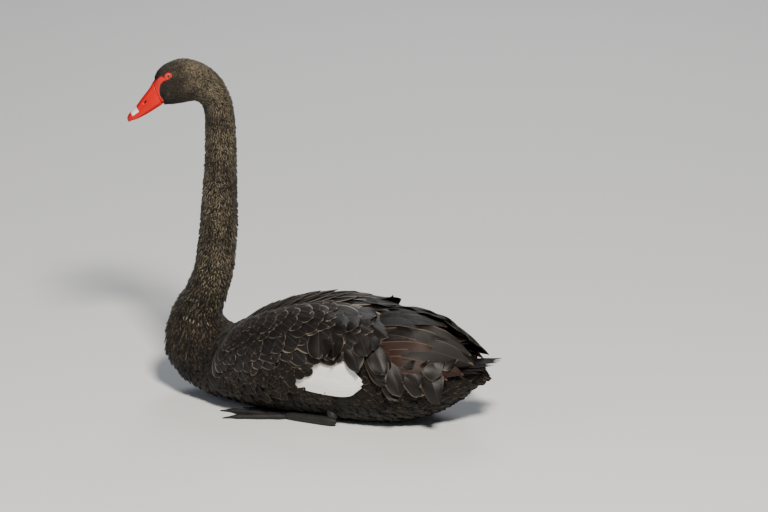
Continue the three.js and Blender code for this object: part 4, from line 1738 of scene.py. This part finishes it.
@dataclass(frozen=True)
class Tail:
    """The fan of stiff tail feathers."""

    root: tuple[float, float] = (236, 104)
    tip: tuple[float, float] = (341, 121)
    spread: float = 0.3
    count: int = 13
    width: float = 20
    rows: int = 16
    columns: int = 8
    seed: int = 21
    angle_jitter: float = 0.01
    outer_loss: float = 0.12
    length_range: tuple[float, float] = (0.96, 1)
    tip_round: float = 0.12
    tip_narrowing: float = 0.3
    narrows: tuple[float, float] = (0.6, 1)
    outer_drop: float = 9
    droop: float = 1.8
    overlap: float = 0.9
    height_jitter: float = 0.3
    root_half: float = 16
    tone_range: tuple[float, float] = (0.8, 1.2)
    bake_place: float = 1.6
    bake_step: float = 0.02
    bake_spread: float = 0.9

    def build(self) -> bpy.types.Object:
        """Build the fan.

        Returns:
            The piece.
        """
        plumage = Plumage("tail_feathers", Finish.TAIL, self.rows, self.columns)
        rng = np.random.default_rng(self.seed)
        t, a = vane_grid(self.rows, self.columns)
        run, rise = self.tip[0] - self.root[0], self.tip[1] - self.root[1]
        for i in range(self.count):
            share = 2 * i / (self.count - 1) - 1
            angle = self.spread * share + rng.normal(0, self.angle_jitter)
            length = run * (1 - self.outer_loss * share * share) * rng.uniform(*self.length_range)
            s = t * length * (1 - self.tip_round * a * a * t)
            w = a * self.width / 2 * vane_width(t) * (1 - self.tip_narrowing * smoothstep(t, *self.narrows))
            z = self.root[1] + rise * t - self.outer_drop * share * share * t - self.droop * a * a * t
            z = z + self.overlap * (i % 2) + rng.normal(0, self.height_jitter)
            x = self.root[0] + s * math.cos(angle) - w * math.sin(angle)
            y = -self.root_half * share - s * math.sin(angle) - w * math.cos(angle)
            tone = np.array([rng.uniform(*self.tone_range)])
            place = np.array([self.bake_place + self.bake_step * i])
            root = bake_place(place, np.array([-self.bake_spread * share]))
            plumage.add(np.stack([x, y, z], axis=-1)[None], tone, root)
        return plumage.finish_piece(("tail",))


# The bill, the eyes and the feet.


@dataclass(frozen=True)
class BillStation:
    """One section of the bill: ridge, mouth line and lower edge (forward, above), and half widths."""

    ridge: tuple[float, float]
    mouth: tuple[float, float]
    under: tuple[float, float]
    half: float
    low_half: float


BILL = (
    BillStation((29.95, 6.8), (40.5, -29), (41.9, -34.2), 15.6, 13),
    BillStation((36, 3.4), (46, -28.6), (47, -34), 15.3, 12.6),
    BillStation((44, 0.4), (52, -28), (53, -33.4), 15, 12),
    BillStation((61, -3.6), (65, -26.8), (65.5, -32), 14.4, 11.4),
    BillStation((74, -7), (76, -25.6), (76, -30.4), 13.8, 10.8),
    BillStation((85, -10), (86, -24.4), (86, -28.4), 13, 9.8),
    BillStation((95, -10.8), (94.5, -23.2), (94, -26.4), 11.8, 8),
    BillStation((102, -12.4), (101, -21.9), (100, -24.2), 9.6, 5.6),
    BillStation((106.4, -15.4), (105.6, -21.6), (103.5, -22.8), 6.4, 3),
    BillStation((108.6, -19.6), (108.2, -22.4), (105, -22.2), 2, 1),
)


@dataclass(frozen=True)
class Bill:
    """The two jaws. The bill's map runs forward over map_length, and up over map_height from map_base."""

    rings: int = 90
    segments: int = 72
    crowding: float = 0.9
    shift: float = 0.3
    sink: float = 0.05
    sink_eases: float = 0.2
    arch: float = 0.8
    fullness: float = 0.85
    mouth_gap: float = 0.4
    nostril: tuple[float, float] = (62, -11)
    nostril_slope: float = 0.25
    nostril_half: tuple[float, float] = (3.8, 1.4)
    pit_half: float = 4.0
    pit_depth: float = 3.0
    tip_narrowing: float = 0.02
    narrows: tuple[float, float] = (6, 7)
    map_length: float = 125
    map_height: float = 60
    map_base: float = 40

    WAVES = 160
    WOBBLE = (0.02, -0.01)
    MOTTLE = (220, 4)
    RED = ((0.62, 0.001, 0.001), (0.5, 0.001, 0.001))
    FACE_RED = (0.72, 0.008, 0.001)
    FACE_RANGE = (0.3, 0.5, 0.4, 0.0)
    BAR = (0.9, 0.86, 0.83)
    BAR_START = (0.635, 0.655)
    BAR_END = (0.74, 0.765, 1.0, 0.0)
    BAR_ABOVE = (0.375, 0.41)
    # Painted shade inside the nostril openings.
    NOSTRIL_SHADOW = (0.03, 0.001, 0.001)
    NOSTRIL_EDGE = (0.5, 1.1, 1.0, 0.0)
    TIP = (0.34, 0.02, 0.02)
    TIP_RANGE = (0.77, 0.83)
    TIP_SHARE = 0.5
    TIP_EDGE = (0.05, 0.006, 0.006)
    TIP_EDGE_RANGE = (0.835, 0.87)
    GRAIN = (500, 3)
    GRAIN_BUMP = (0.12, 0.0004)
    ROUGHNESS = 0.38
    COAT = 0.08
    COAT_ROUGHNESS = 0.2
    GLOSS = 0.25

    def material(self, upper: bool) -> bpy.types.Material:
        """Make glossy red horn, orange by the face, with the white bar, the dark tip and painted shade in the
        nostrils.

        Args:
            upper: Whether it is the upper jaw's, which has the bar and the nostrils.

        Returns:
            The material.
        """
        s = Shader("bill upper" if upper else "bill lower")
        forward, above = s.uv("Bill")
        wobble = s.math("MULTIPLY_ADD", s.noise(self.WAVES), *self.WOBBLE)
        at = s.math("ADD", forward, wobble)
        red = s.mix(s.noise(*self.MOTTLE), *self.RED)
        colour = s.mix(s.ramp(at, *self.FACE_RANGE), red, self.FACE_RED)
        if upper:
            bar = s.math("MULTIPLY", s.ramp(at, *self.BAR_START), s.ramp(at, *self.BAR_END))
            bar = s.math("MULTIPLY", bar, s.ramp(s.math("ADD", above, wobble), *self.BAR_ABOVE))
            # Painted shade in the nostrils.
            colour = s.mix(self.nostril_shadow(s, forward, above), s.mix(bar, colour, self.BAR), self.NOSTRIL_SHADOW)
        colour = s.mix(s.math("MULTIPLY", s.ramp(at, *self.TIP_RANGE), self.TIP_SHARE), colour, self.TIP)
        colour = s.mix(s.ramp(at, *self.TIP_EDGE_RANGE), colour, self.TIP_EDGE)
        s.bump(s.noise(*self.GRAIN), *self.GRAIN_BUMP)
        return s.finish(
            colour,
            self.ROUGHNESS,
            Coat_Weight=self.COAT,
            Coat_Roughness=self.COAT_ROUGHNESS,
            Specular_IOR_Level=self.GLOSS,
        )

    def nostril_shadow(
        self, s: Shader, forward: bpy.types.NodeSocket, above: bpy.types.NodeSocket
    ) -> bpy.types.NodeSocket:
        """Find the slanting oval of the nostril on the bill's map, where shade is painted into the opening.

        Args:
            s: The material that it belongs to.
            forward: The map's first coordinate.
            above: Its second.

        Returns:
            1 inside the oval and 0 outside it.
        """
        half, high = self.nostril_half
        run = s.math("SUBTRACT", forward, self.nostril[0] / self.map_length)
        run = s.math("DIVIDE", run, half / self.map_length)
        rise = s.math("SUBTRACT", above, (self.nostril[1] + self.map_base) / self.map_height)
        rise = s.math("MULTIPLY_ADD", run, self.nostril_slope * half / self.map_height, rise)
        rise = s.math("DIVIDE", rise, high / self.map_height)
        far = s.math("ADD", s.math("MULTIPLY", run, run), s.math("MULTIPLY", rise, rise))
        return s.ramp(far, *self.NOSTRIL_EDGE)

    def track(self, at: Array, key: str, axis: int | None = None) -> Array:
        """Follow one value of BILL along the bill.

        Args:
            at: Places along BILL.
            key: The value's name.
            axis: Which of a pair it is, where it is a pair.

        Returns:
            The value at each place.
        """
        values = [getattr(station, key) for station in BILL]
        return curve_through(values if axis is None else [pair[axis] for pair in values], at)

    def jaw(self, upper: bool) -> bpy.types.Object:
        """Loft one jaw, with the nostrils pressed into the upper one.

        Args:
            upper: Whether it is the upper jaw.

        Returns:
            The piece.
        """
        at = (np.linspace(0, 1, self.rings + 1) ** self.crowding * (len(BILL) - 1))[:, None]
        angle = np.linspace(-math.pi, math.pi, self.segments, endpoint=False)[None]
        at, angle = np.broadcast_arrays(at, angle)
        edge = "ridge" if upper else "under"
        sunk = 1 - self.sink * (1 - smoothstep(at, 0, self.sink_eases))
        half = self.track(at, "half" if upper else "low_half") * sunk
        rise = np.maximum(0, np.cos(angle)) ** self.arch * sunk
        forward = self.track(at, "mouth", 0) * (1 - rise) + self.track(at, edge, 0) * rise
        mouth = self.track(at, "mouth", 1) - (0 if upper else self.mouth_gap)
        above = mouth * (1 - rise) + self.track(at, edge, 1) * rise
        left = half * fuller(np.sin(angle), self.fullness)
        if upper:
            ahead = forward - self.nostril[0]
            slope = above - self.nostril[1] + self.nostril_slope * ahead
            press = np.exp(-((ahead / self.pit_half) ** 4) - (slope / self.nostril_half[1]) ** 4)
            left = left - np.sign(left) * self.pit_depth * press
            left = left * (1 - self.tip_narrowing * smoothstep(at, *self.narrows))
        points = head_point(forward + self.shift, above, left)
        pairs = np.stack([forward / self.map_length, (above + self.map_base) / self.map_height], axis=-1)
        faces, uv, cap_uv = capped_loft(self.rings, self.segments, pairs.reshape(-1, 2))
        name, node = ("upper_jaw", "bill_upper") if upper else ("lower_jaw", "bill_lower")
        uvs = {"Bill": np.concatenate([uv.reshape(-1, 2), cap_uv])}
        return build_mesh(name, points, faces, self.material(upper), (node,), uvs)

    def build(self) -> None:
        """Build both jaws."""
        self.jaw(True)
        self.jaw(False)


@dataclass(frozen=True)
class Eye:
    """One eye and the bare ring round it."""

    side: str
    ring_radius: float = 5.2
    ring_thick: float = 1.4
    ring_left: float = 20.8
    ring_shape: tuple[float, float, float, float] = (1.04, 0.97, 0.8, 1)
    pupil: tuple[float, float] = (1.75, 2.0)
    iris: tuple[float, float] = (4.4, 5.2)
    far_side: float = 9.0

    FIBRES = (2600, 3)
    IRIS_REDS = ((0.75, 0.03, 0.02), (0.55, 0.012, 0.008))
    PUPIL_BLACK = (0.002, 0.0015, 0.0015)
    IRIS_EDGE = (0.2, 0.01, 0.008)
    LID_MOTTLE = 700
    LID_REDS = ((0.66, 0.02, 0.012), (0.52, 0.035, 0.025))
    LID_PORES = (1500, 3)
    LID_BUMP = (0.3, 0.0003)

    @property
    def sign(self) -> int:
        """Give 1 on the left and -1 on the right."""
        return 1 if self.side == "left" else -1

    def facing(self, left: float) -> Matrix:
        """Give the place and direction of something on this side of the head.

        Args:
            left: How far it is from the head's middle plane.

        Returns:
            A matrix whose Z faces out.
        """
        at = Matrix.Translation(Vector(head_point(0, 0, self.sign * left) * MM))
        outwards = Matrix.Rotation(self.sign * math.pi / 2, 4, "X")
        return at @ Matrix.Rotation(HEAD_TURN, 4, "Z") @ outwards

    def ball(self) -> bpy.types.Object:
        """Make the ball, with its distance from the pupil's middle kept at each vertex.

        Returns:
            The piece.
        """
        bpy.ops.mesh.primitive_uv_sphere_add(segments=48, ring_count=32, radius=EYE_RADIUS * MM)
        piece = bpy.context.object
        piece.name = f"eyeball_{self.side}"
        mesh = piece.data
        spread = [math.hypot(v.co.x, v.co.y) / MM if v.co.z > 0 else self.far_side for v in mesh.vertices]
        mesh.attributes.new("spread", "FLOAT", "POINT").data.foreach_set("value", spread)
        mesh.transform(self.facing(EYE_SIDE))
        smooth_all(mesh)
        s = Shader(f"eye {self.side}")
        spread_at = s.attribute("spread")
        iris = s.mix(s.noise(*self.FIBRES), *self.IRIS_REDS)
        colour = s.mix(s.ramp(spread_at, *self.pupil, 1.0, 0.0), iris, self.PUPIL_BLACK)
        colour = s.mix(s.ramp(spread_at, *self.iris), colour, self.IRIS_EDGE)
        wet = s.finish(colour, 0.12, Coat_Weight=0.5, Coat_Roughness=0.04, Specular_IOR_Level=0.3)
        mesh.materials.append(wet)
        return dressed(piece, (f"eye_{self.side}",))

    def ring(self) -> bpy.types.Object:
        """Make the ring of bare skin on the lids.

        Returns:
            The piece.
        """
        bpy.ops.mesh.primitive_torus_add(
            major_segments=64,
            minor_segments=20,
            major_radius=self.ring_radius * MM,
            minor_radius=self.ring_thick * MM,
        )
        piece = bpy.context.object
        piece.name = f"lids_{self.side}"
        piece.data.transform(self.facing(self.ring_left) @ Matrix.Diagonal(self.ring_shape))
        smooth_all(piece.data)
        s = Shader(f"lids {self.side}")
        s.bump(s.noise(*self.LID_PORES), *self.LID_BUMP)
        colour = s.mix(s.noise(self.LID_MOTTLE), *self.LID_REDS)
        piece.data.materials.append(s.finish(colour, 0.5, Specular_IOR_Level=0.2))
        return dressed(piece)

    def build(self) -> None:
        """Build the ball and its ring."""
        self.ball()
        self.ring()


@dataclass(frozen=True)
class Toe:
    """A front toe: where its tip is on the floor, and how thick it is."""

    tip: tuple[float, float]
    radius: float


@dataclass(frozen=True)
class Leg:
    """One leg, folded under the belly with its sole on the floor. It is built for the left side."""

    side: str
    shin_top: tuple[float, float, float] = (58, -78, 38)
    heel: tuple[float, float, float] = (70, -90, 11)
    shank_top: tuple[float, float, float] = (77, -91, 9)
    foot: tuple[float, float, float] = (-22, -86, 7)
    shin_radii: tuple[float, float] = (8.9, 8.4)
    shank_radii: tuple[float, float] = (8.4, 6.4)
    toes: tuple[Toe, Toe, Toe] = (Toe((-128, -90), 5.2), Toe((-110, -120), 4.6), Toe((-98, -64), 4.4))
    toe_root: tuple[float, float] = (6, 5)
    toe_radius: float = 6
    toe_end: float = 0.8
    toe_tip_height: float = 0.7
    knuckles: int = 4
    knuckle_swell: float = 0.1
    hind_root: tuple[float, float, float] = (-18, -83, 4.5)
    hind_tip: tuple[float, float, float] = (4, -72, 2.6)
    hind_radii: tuple[float, float] = (4, 2.8)
    claw_length: float = 12
    claw_overlap: float = 4
    claw_heights: tuple[float, float] = (3, 0.9)
    claw_radii: tuple[float, float] = (2.5, 0.8)
    limb_rings: int = 40
    limb_segments: int = 24
    limb_least: float = 0.04
    limb_squareness: int = 6
    lowest: float = 0.05
    web_grid: tuple[int, int] = (20, 12)
    web_start: float = 0.06
    web_reach: float = 0.92
    web_hollow: float = 0.16
    web_height: float = 2.6
    web_folds: tuple[float, float] = (0.3, 9)

    def limb(
        self, start: tuple[float, ...], end: tuple[float, ...], radii: tuple[float, float], knuckles: int = 0
    ) -> tuple[Array, Array]:
        """Loft a rounded limb, flat on the floor and swollen at its knuckles.

        Args:
            start: Where it starts.
            end: Where it ends.
            radii: How thick it is there.
            knuckles: How many knuckles it has.

        Returns:
            Its vertices and its faces.
        """
        start, end = np.array(start, float), np.array(end, float)
        axis = unit(end - start)
        sideways = unit(np.cross([0, 0, 1], axis))
        upright = np.cross(axis, sideways)
        t = np.linspace(0, 1, self.limb_rings + 1)[:, None]
        angle = np.linspace(0, 2 * math.pi, self.limb_segments, endpoint=False)[None]
        run = np.cos(math.pi * t)
        rounded = np.maximum(self.limb_least, np.sqrt(1 - np.abs(run) ** self.limb_squareness))
        radius = (radii[0] + (radii[1] - radii[0]) * t) * rounded
        if knuckles:
            radius = radius * (1 + self.knuckle_swell * np.cos(2 * math.pi * knuckles * t))
        points = start + (end - start) * ((1 - run) / 2)[..., None]
        points = points + sideways * (radius * np.sin(angle))[..., None]
        points = points + upright * (radius * np.cos(angle))[..., None]
        points[..., 2] = np.maximum(points[..., 2], self.lowest)
        return points, grid_faces(self.limb_rings, self.limb_segments, closed=True)

    def web(self, first: Toe, second: Toe) -> tuple[Array, Array]:
        """Make the web between two toes.

        Args:
            first: The toe at its one edge.
            second: The toe at its other edge.

        Returns:
            Its vertices and its faces.
        """
        foot = np.array(self.foot[:2], float)
        t, a = vane_grid(*self.web_grid)
        edge = np.array(first.tip) + (np.array(second.tip, float) - first.tip) * ((a + 1) / 2)[..., None]
        reach = self.web_start + t * (self.web_reach - self.web_hollow * (1 - a * a))
        flat = foot + (edge - foot) * reach[..., None]
        depth, folds = self.web_folds
        height = self.web_height + depth * np.cos(folds * a)
        return np.concatenate([flat, height[..., None]], axis=-1), grid_faces(*self.web_grid)

    def build(self, skin: bpy.types.Material, horn: bpy.types.Material) -> None:
        """Build the leg and its claws.

        Args:
            skin: The finish of the leg.
            horn: The finish of the claws.
        """
        foot = np.array(self.foot[:2], float)
        parts = [
            self.limb(self.shin_top, self.heel, self.shin_radii),
            self.limb(self.shank_top, self.foot, self.shank_radii),
            self.limb(self.hind_root, self.hind_tip, self.hind_radii),
        ]
        claws = []
        for toe in self.toes:
            ahead = unit(np.array(toe.tip, float) - foot)
            claw = np.array(toe.tip) + ahead * self.claw_length
            joint = np.array(toe.tip) - ahead * self.claw_overlap
            root = (foot[0] + self.toe_root[0], foot[1], self.toe_root[1])
            tip = (*toe.tip, toe.radius * self.toe_tip_height)
            parts.append(self.limb(root, tip, (self.toe_radius, toe.radius * self.toe_end), self.knuckles))
            high, low = self.claw_heights
            claws.append(self.limb((*joint, high), (*claw, low), self.claw_radii))
        middle, outer, inner = self.toes
        parts += [self.web(middle, outer), self.web(inner, middle)]
        self.join(f"foot_{self.side}", parts, skin, (f"leg_{self.side}",))
        self.join(f"claws_{self.side}", claws, horn, ())

    def join(self, name: str, parts: list, material: bpy.types.Material, nodes: tuple[str, ...]) -> None:
        """Join lofts into one piece on this leg's side.

        Args:
            name: The piece's name.
            parts: The vertices and faces of each loft.
            material: The piece's finish.
            nodes: The solids it stands for.
        """
        points, faces, count = [], [], 0
        for part, quads in parts:
            points.append(part.reshape(-1, 3))
            faces.append(quads + count)
            count += len(points[-1])
        everything = np.concatenate(points) * np.array([1, 1 if self.side == "left" else -1, 1])
        build_mesh(name, everything, np.concatenate(faces), material, nodes)


SCALES = 520
SCALE_BUMP = (0.5, 0.0006)
FOOT_MOTTLE = (200, 3)
FOOT_BLACKS = ((0.009, 0.009, 0.0095), (0.026, 0.024, 0.024))
CLAW_BLACK = (0.016, 0.014, 0.013)
WING_MOTTLE = (500, 3)
WING_BLACKS = ((0.006, 0.005, 0.004), (0.02, 0.015, 0.011))


def foot_materials() -> tuple[bpy.types.Material, bpy.types.Material]:
    """Make the scaled black skin of the feet and the horn of the claws.

    Returns:
        The two materials.
    """
    s = Shader("foot skin")
    cells = s.node("ShaderNodeTexVoronoi")
    cells.inputs["Scale"].default_value = SCALES
    s.feed(cells.inputs["Vector"], s.node("ShaderNodeTexCoord").outputs["Object"])
    s.bump(cells.outputs[0], *SCALE_BUMP)
    skin = s.finish(s.mix(s.noise(*FOOT_MOTTLE), *FOOT_BLACKS), 0.6, Specular_IOR_Level=0.25)
    return skin, Shader("claw horn").finish(CLAW_BLACK, 0.35)


def wing_down() -> bpy.types.Material:
    """Make the dark down under the wing's feathers."""
    s = Shader("wing down")
    return s.finish(s.mix(s.noise(*WING_MOTTLE), *WING_BLACKS), 0.85)


# The photo's framing, the floor and the light.


@dataclass(frozen=True)
class Lamp:
    """An area light that faces the bird."""

    name: str
    at: tuple[float, float, float]
    size: float
    power: float
    colour: Colour

    def build(self, target: tuple[float, float, float]) -> None:
        """Hang the light.

        Args:
            target: The point that it faces.
        """
        data = bpy.data.lights.new(self.name, "AREA")
        data.size, data.energy, data.color = self.size, self.power, self.colour
        lamp = bpy.data.objects.new(self.name, data)
        lamp.location = self.at
        lamp.rotation_euler = (Vector(target) - Vector(self.at)).to_track_quat("-Z", "Y").to_euler()
        bpy.context.scene.collection.objects.link(lamp)


@dataclass(frozen=True)
class Stage:
    """The camera, the floor and the lights. One pixel of the photo is scale metres at the bird."""

    azimuth: float = math.radians(22)
    elevation: float = math.radians(18)
    distance: float = 12.0
    across: float = 0.11756
    above: float = 0.25596
    scale: float = 0.0017170
    width: int = 768
    sensor: float = 36.0
    far: float = 200
    floor_size: float = 60
    floor_colour: Colour = (0.82, 0.83, 0.84)
    lamp_target: tuple[float, float, float] = (0, 0, 0.25)
    lamps: tuple[Lamp, ...] = (
        Lamp("key", (1.7, -2.6, 3.4), 0.7, 300, (1.0, 0.94, 0.84)),
        Lamp("fill", (-2.8, -2.2, 1.6), 2.2, 20, (0.85, 0.92, 1.0)),
        Lamp("rim", (-0.6, 2.8, 2.6), 1.6, 40, (0.95, 0.97, 1.0)),
    )
    world_colour: Colour = (0.72, 0.78, 0.86)
    world_strength: float = 0.1

    def axes(self) -> tuple[Vector, Vector, Vector]:
        """Give the picture's right, its up and the way back to the camera.

        Returns:
            The three directions.
        """
        sin_a, cos_a = math.sin(self.azimuth), math.cos(self.azimuth)
        sin_e, cos_e = math.sin(self.elevation), math.cos(self.elevation)
        right = Vector((cos_a, sin_a, 0))
        up = Vector((-sin_a * sin_e, cos_a * sin_e, cos_e))
        return right, up, Vector((sin_a * cos_e, -cos_a * cos_e, sin_e))

    def camera(self) -> None:
        """Place the camera at the photo's viewing angle."""
        right, up, back = self.axes()
        data = bpy.data.cameras.new("camera")
        data.sensor_width = self.sensor
        data.lens = self.distance / self.scale * self.sensor / self.width
        data.clip_end = self.far
        camera = bpy.data.objects.new("camera", data)
        at = right * self.across + up * self.above + back * self.distance
        camera.matrix_world = Matrix([(*row, 0) for row in (right, up, back)] + [(*at, 1)]).transposed()
        bpy.context.scene.collection.objects.link(camera)
        bpy.context.scene.camera = camera

    def floor(self) -> None:
        """Lay the floor."""
        bpy.ops.mesh.primitive_plane_add(size=self.floor_size, location=(0, 0, 0))
        floor = bpy.context.object
        floor.name = "floor"
        floor.data.materials.append(Shader("floor").finish(self.floor_colour, 0.8, Specular_IOR_Level=0.1))

    def build(self) -> None:
        """Build the stage."""
        self.camera()
        self.floor()
        for lamp in self.lamps:
            lamp.build(self.lamp_target)
        world = bpy.data.worlds.new("studio")
        world.use_nodes = True
        background = world.node_tree.nodes["Background"]
        background.inputs[0].default_value = (*self.world_colour, 1)
        background.inputs[1].default_value = self.world_strength
        bpy.context.scene.world = world


WING_SEEDS = {"left": 31, "right": 47}


def main() -> None:
    """Build the swan and its stage."""
    logging.basicConfig(level=logging.INFO, format="%(message)s")
    bpy.ops.object.select_all(action="DESELECT")
    Skin().build()
    for zone in COAT:
        zone.build()
    down = wing_down()
    for side, seed in WING_SEEDS.items():
        Wing(side, seed).build(down)
        Eye(side).build()
    Tail().build()
    Bill().build()
    skin, horn = foot_materials()
    for side in WING_SEEDS:
        Leg(side).build(skin, horn)
    Stage().build()


if __name__ == "__main__":
    main()
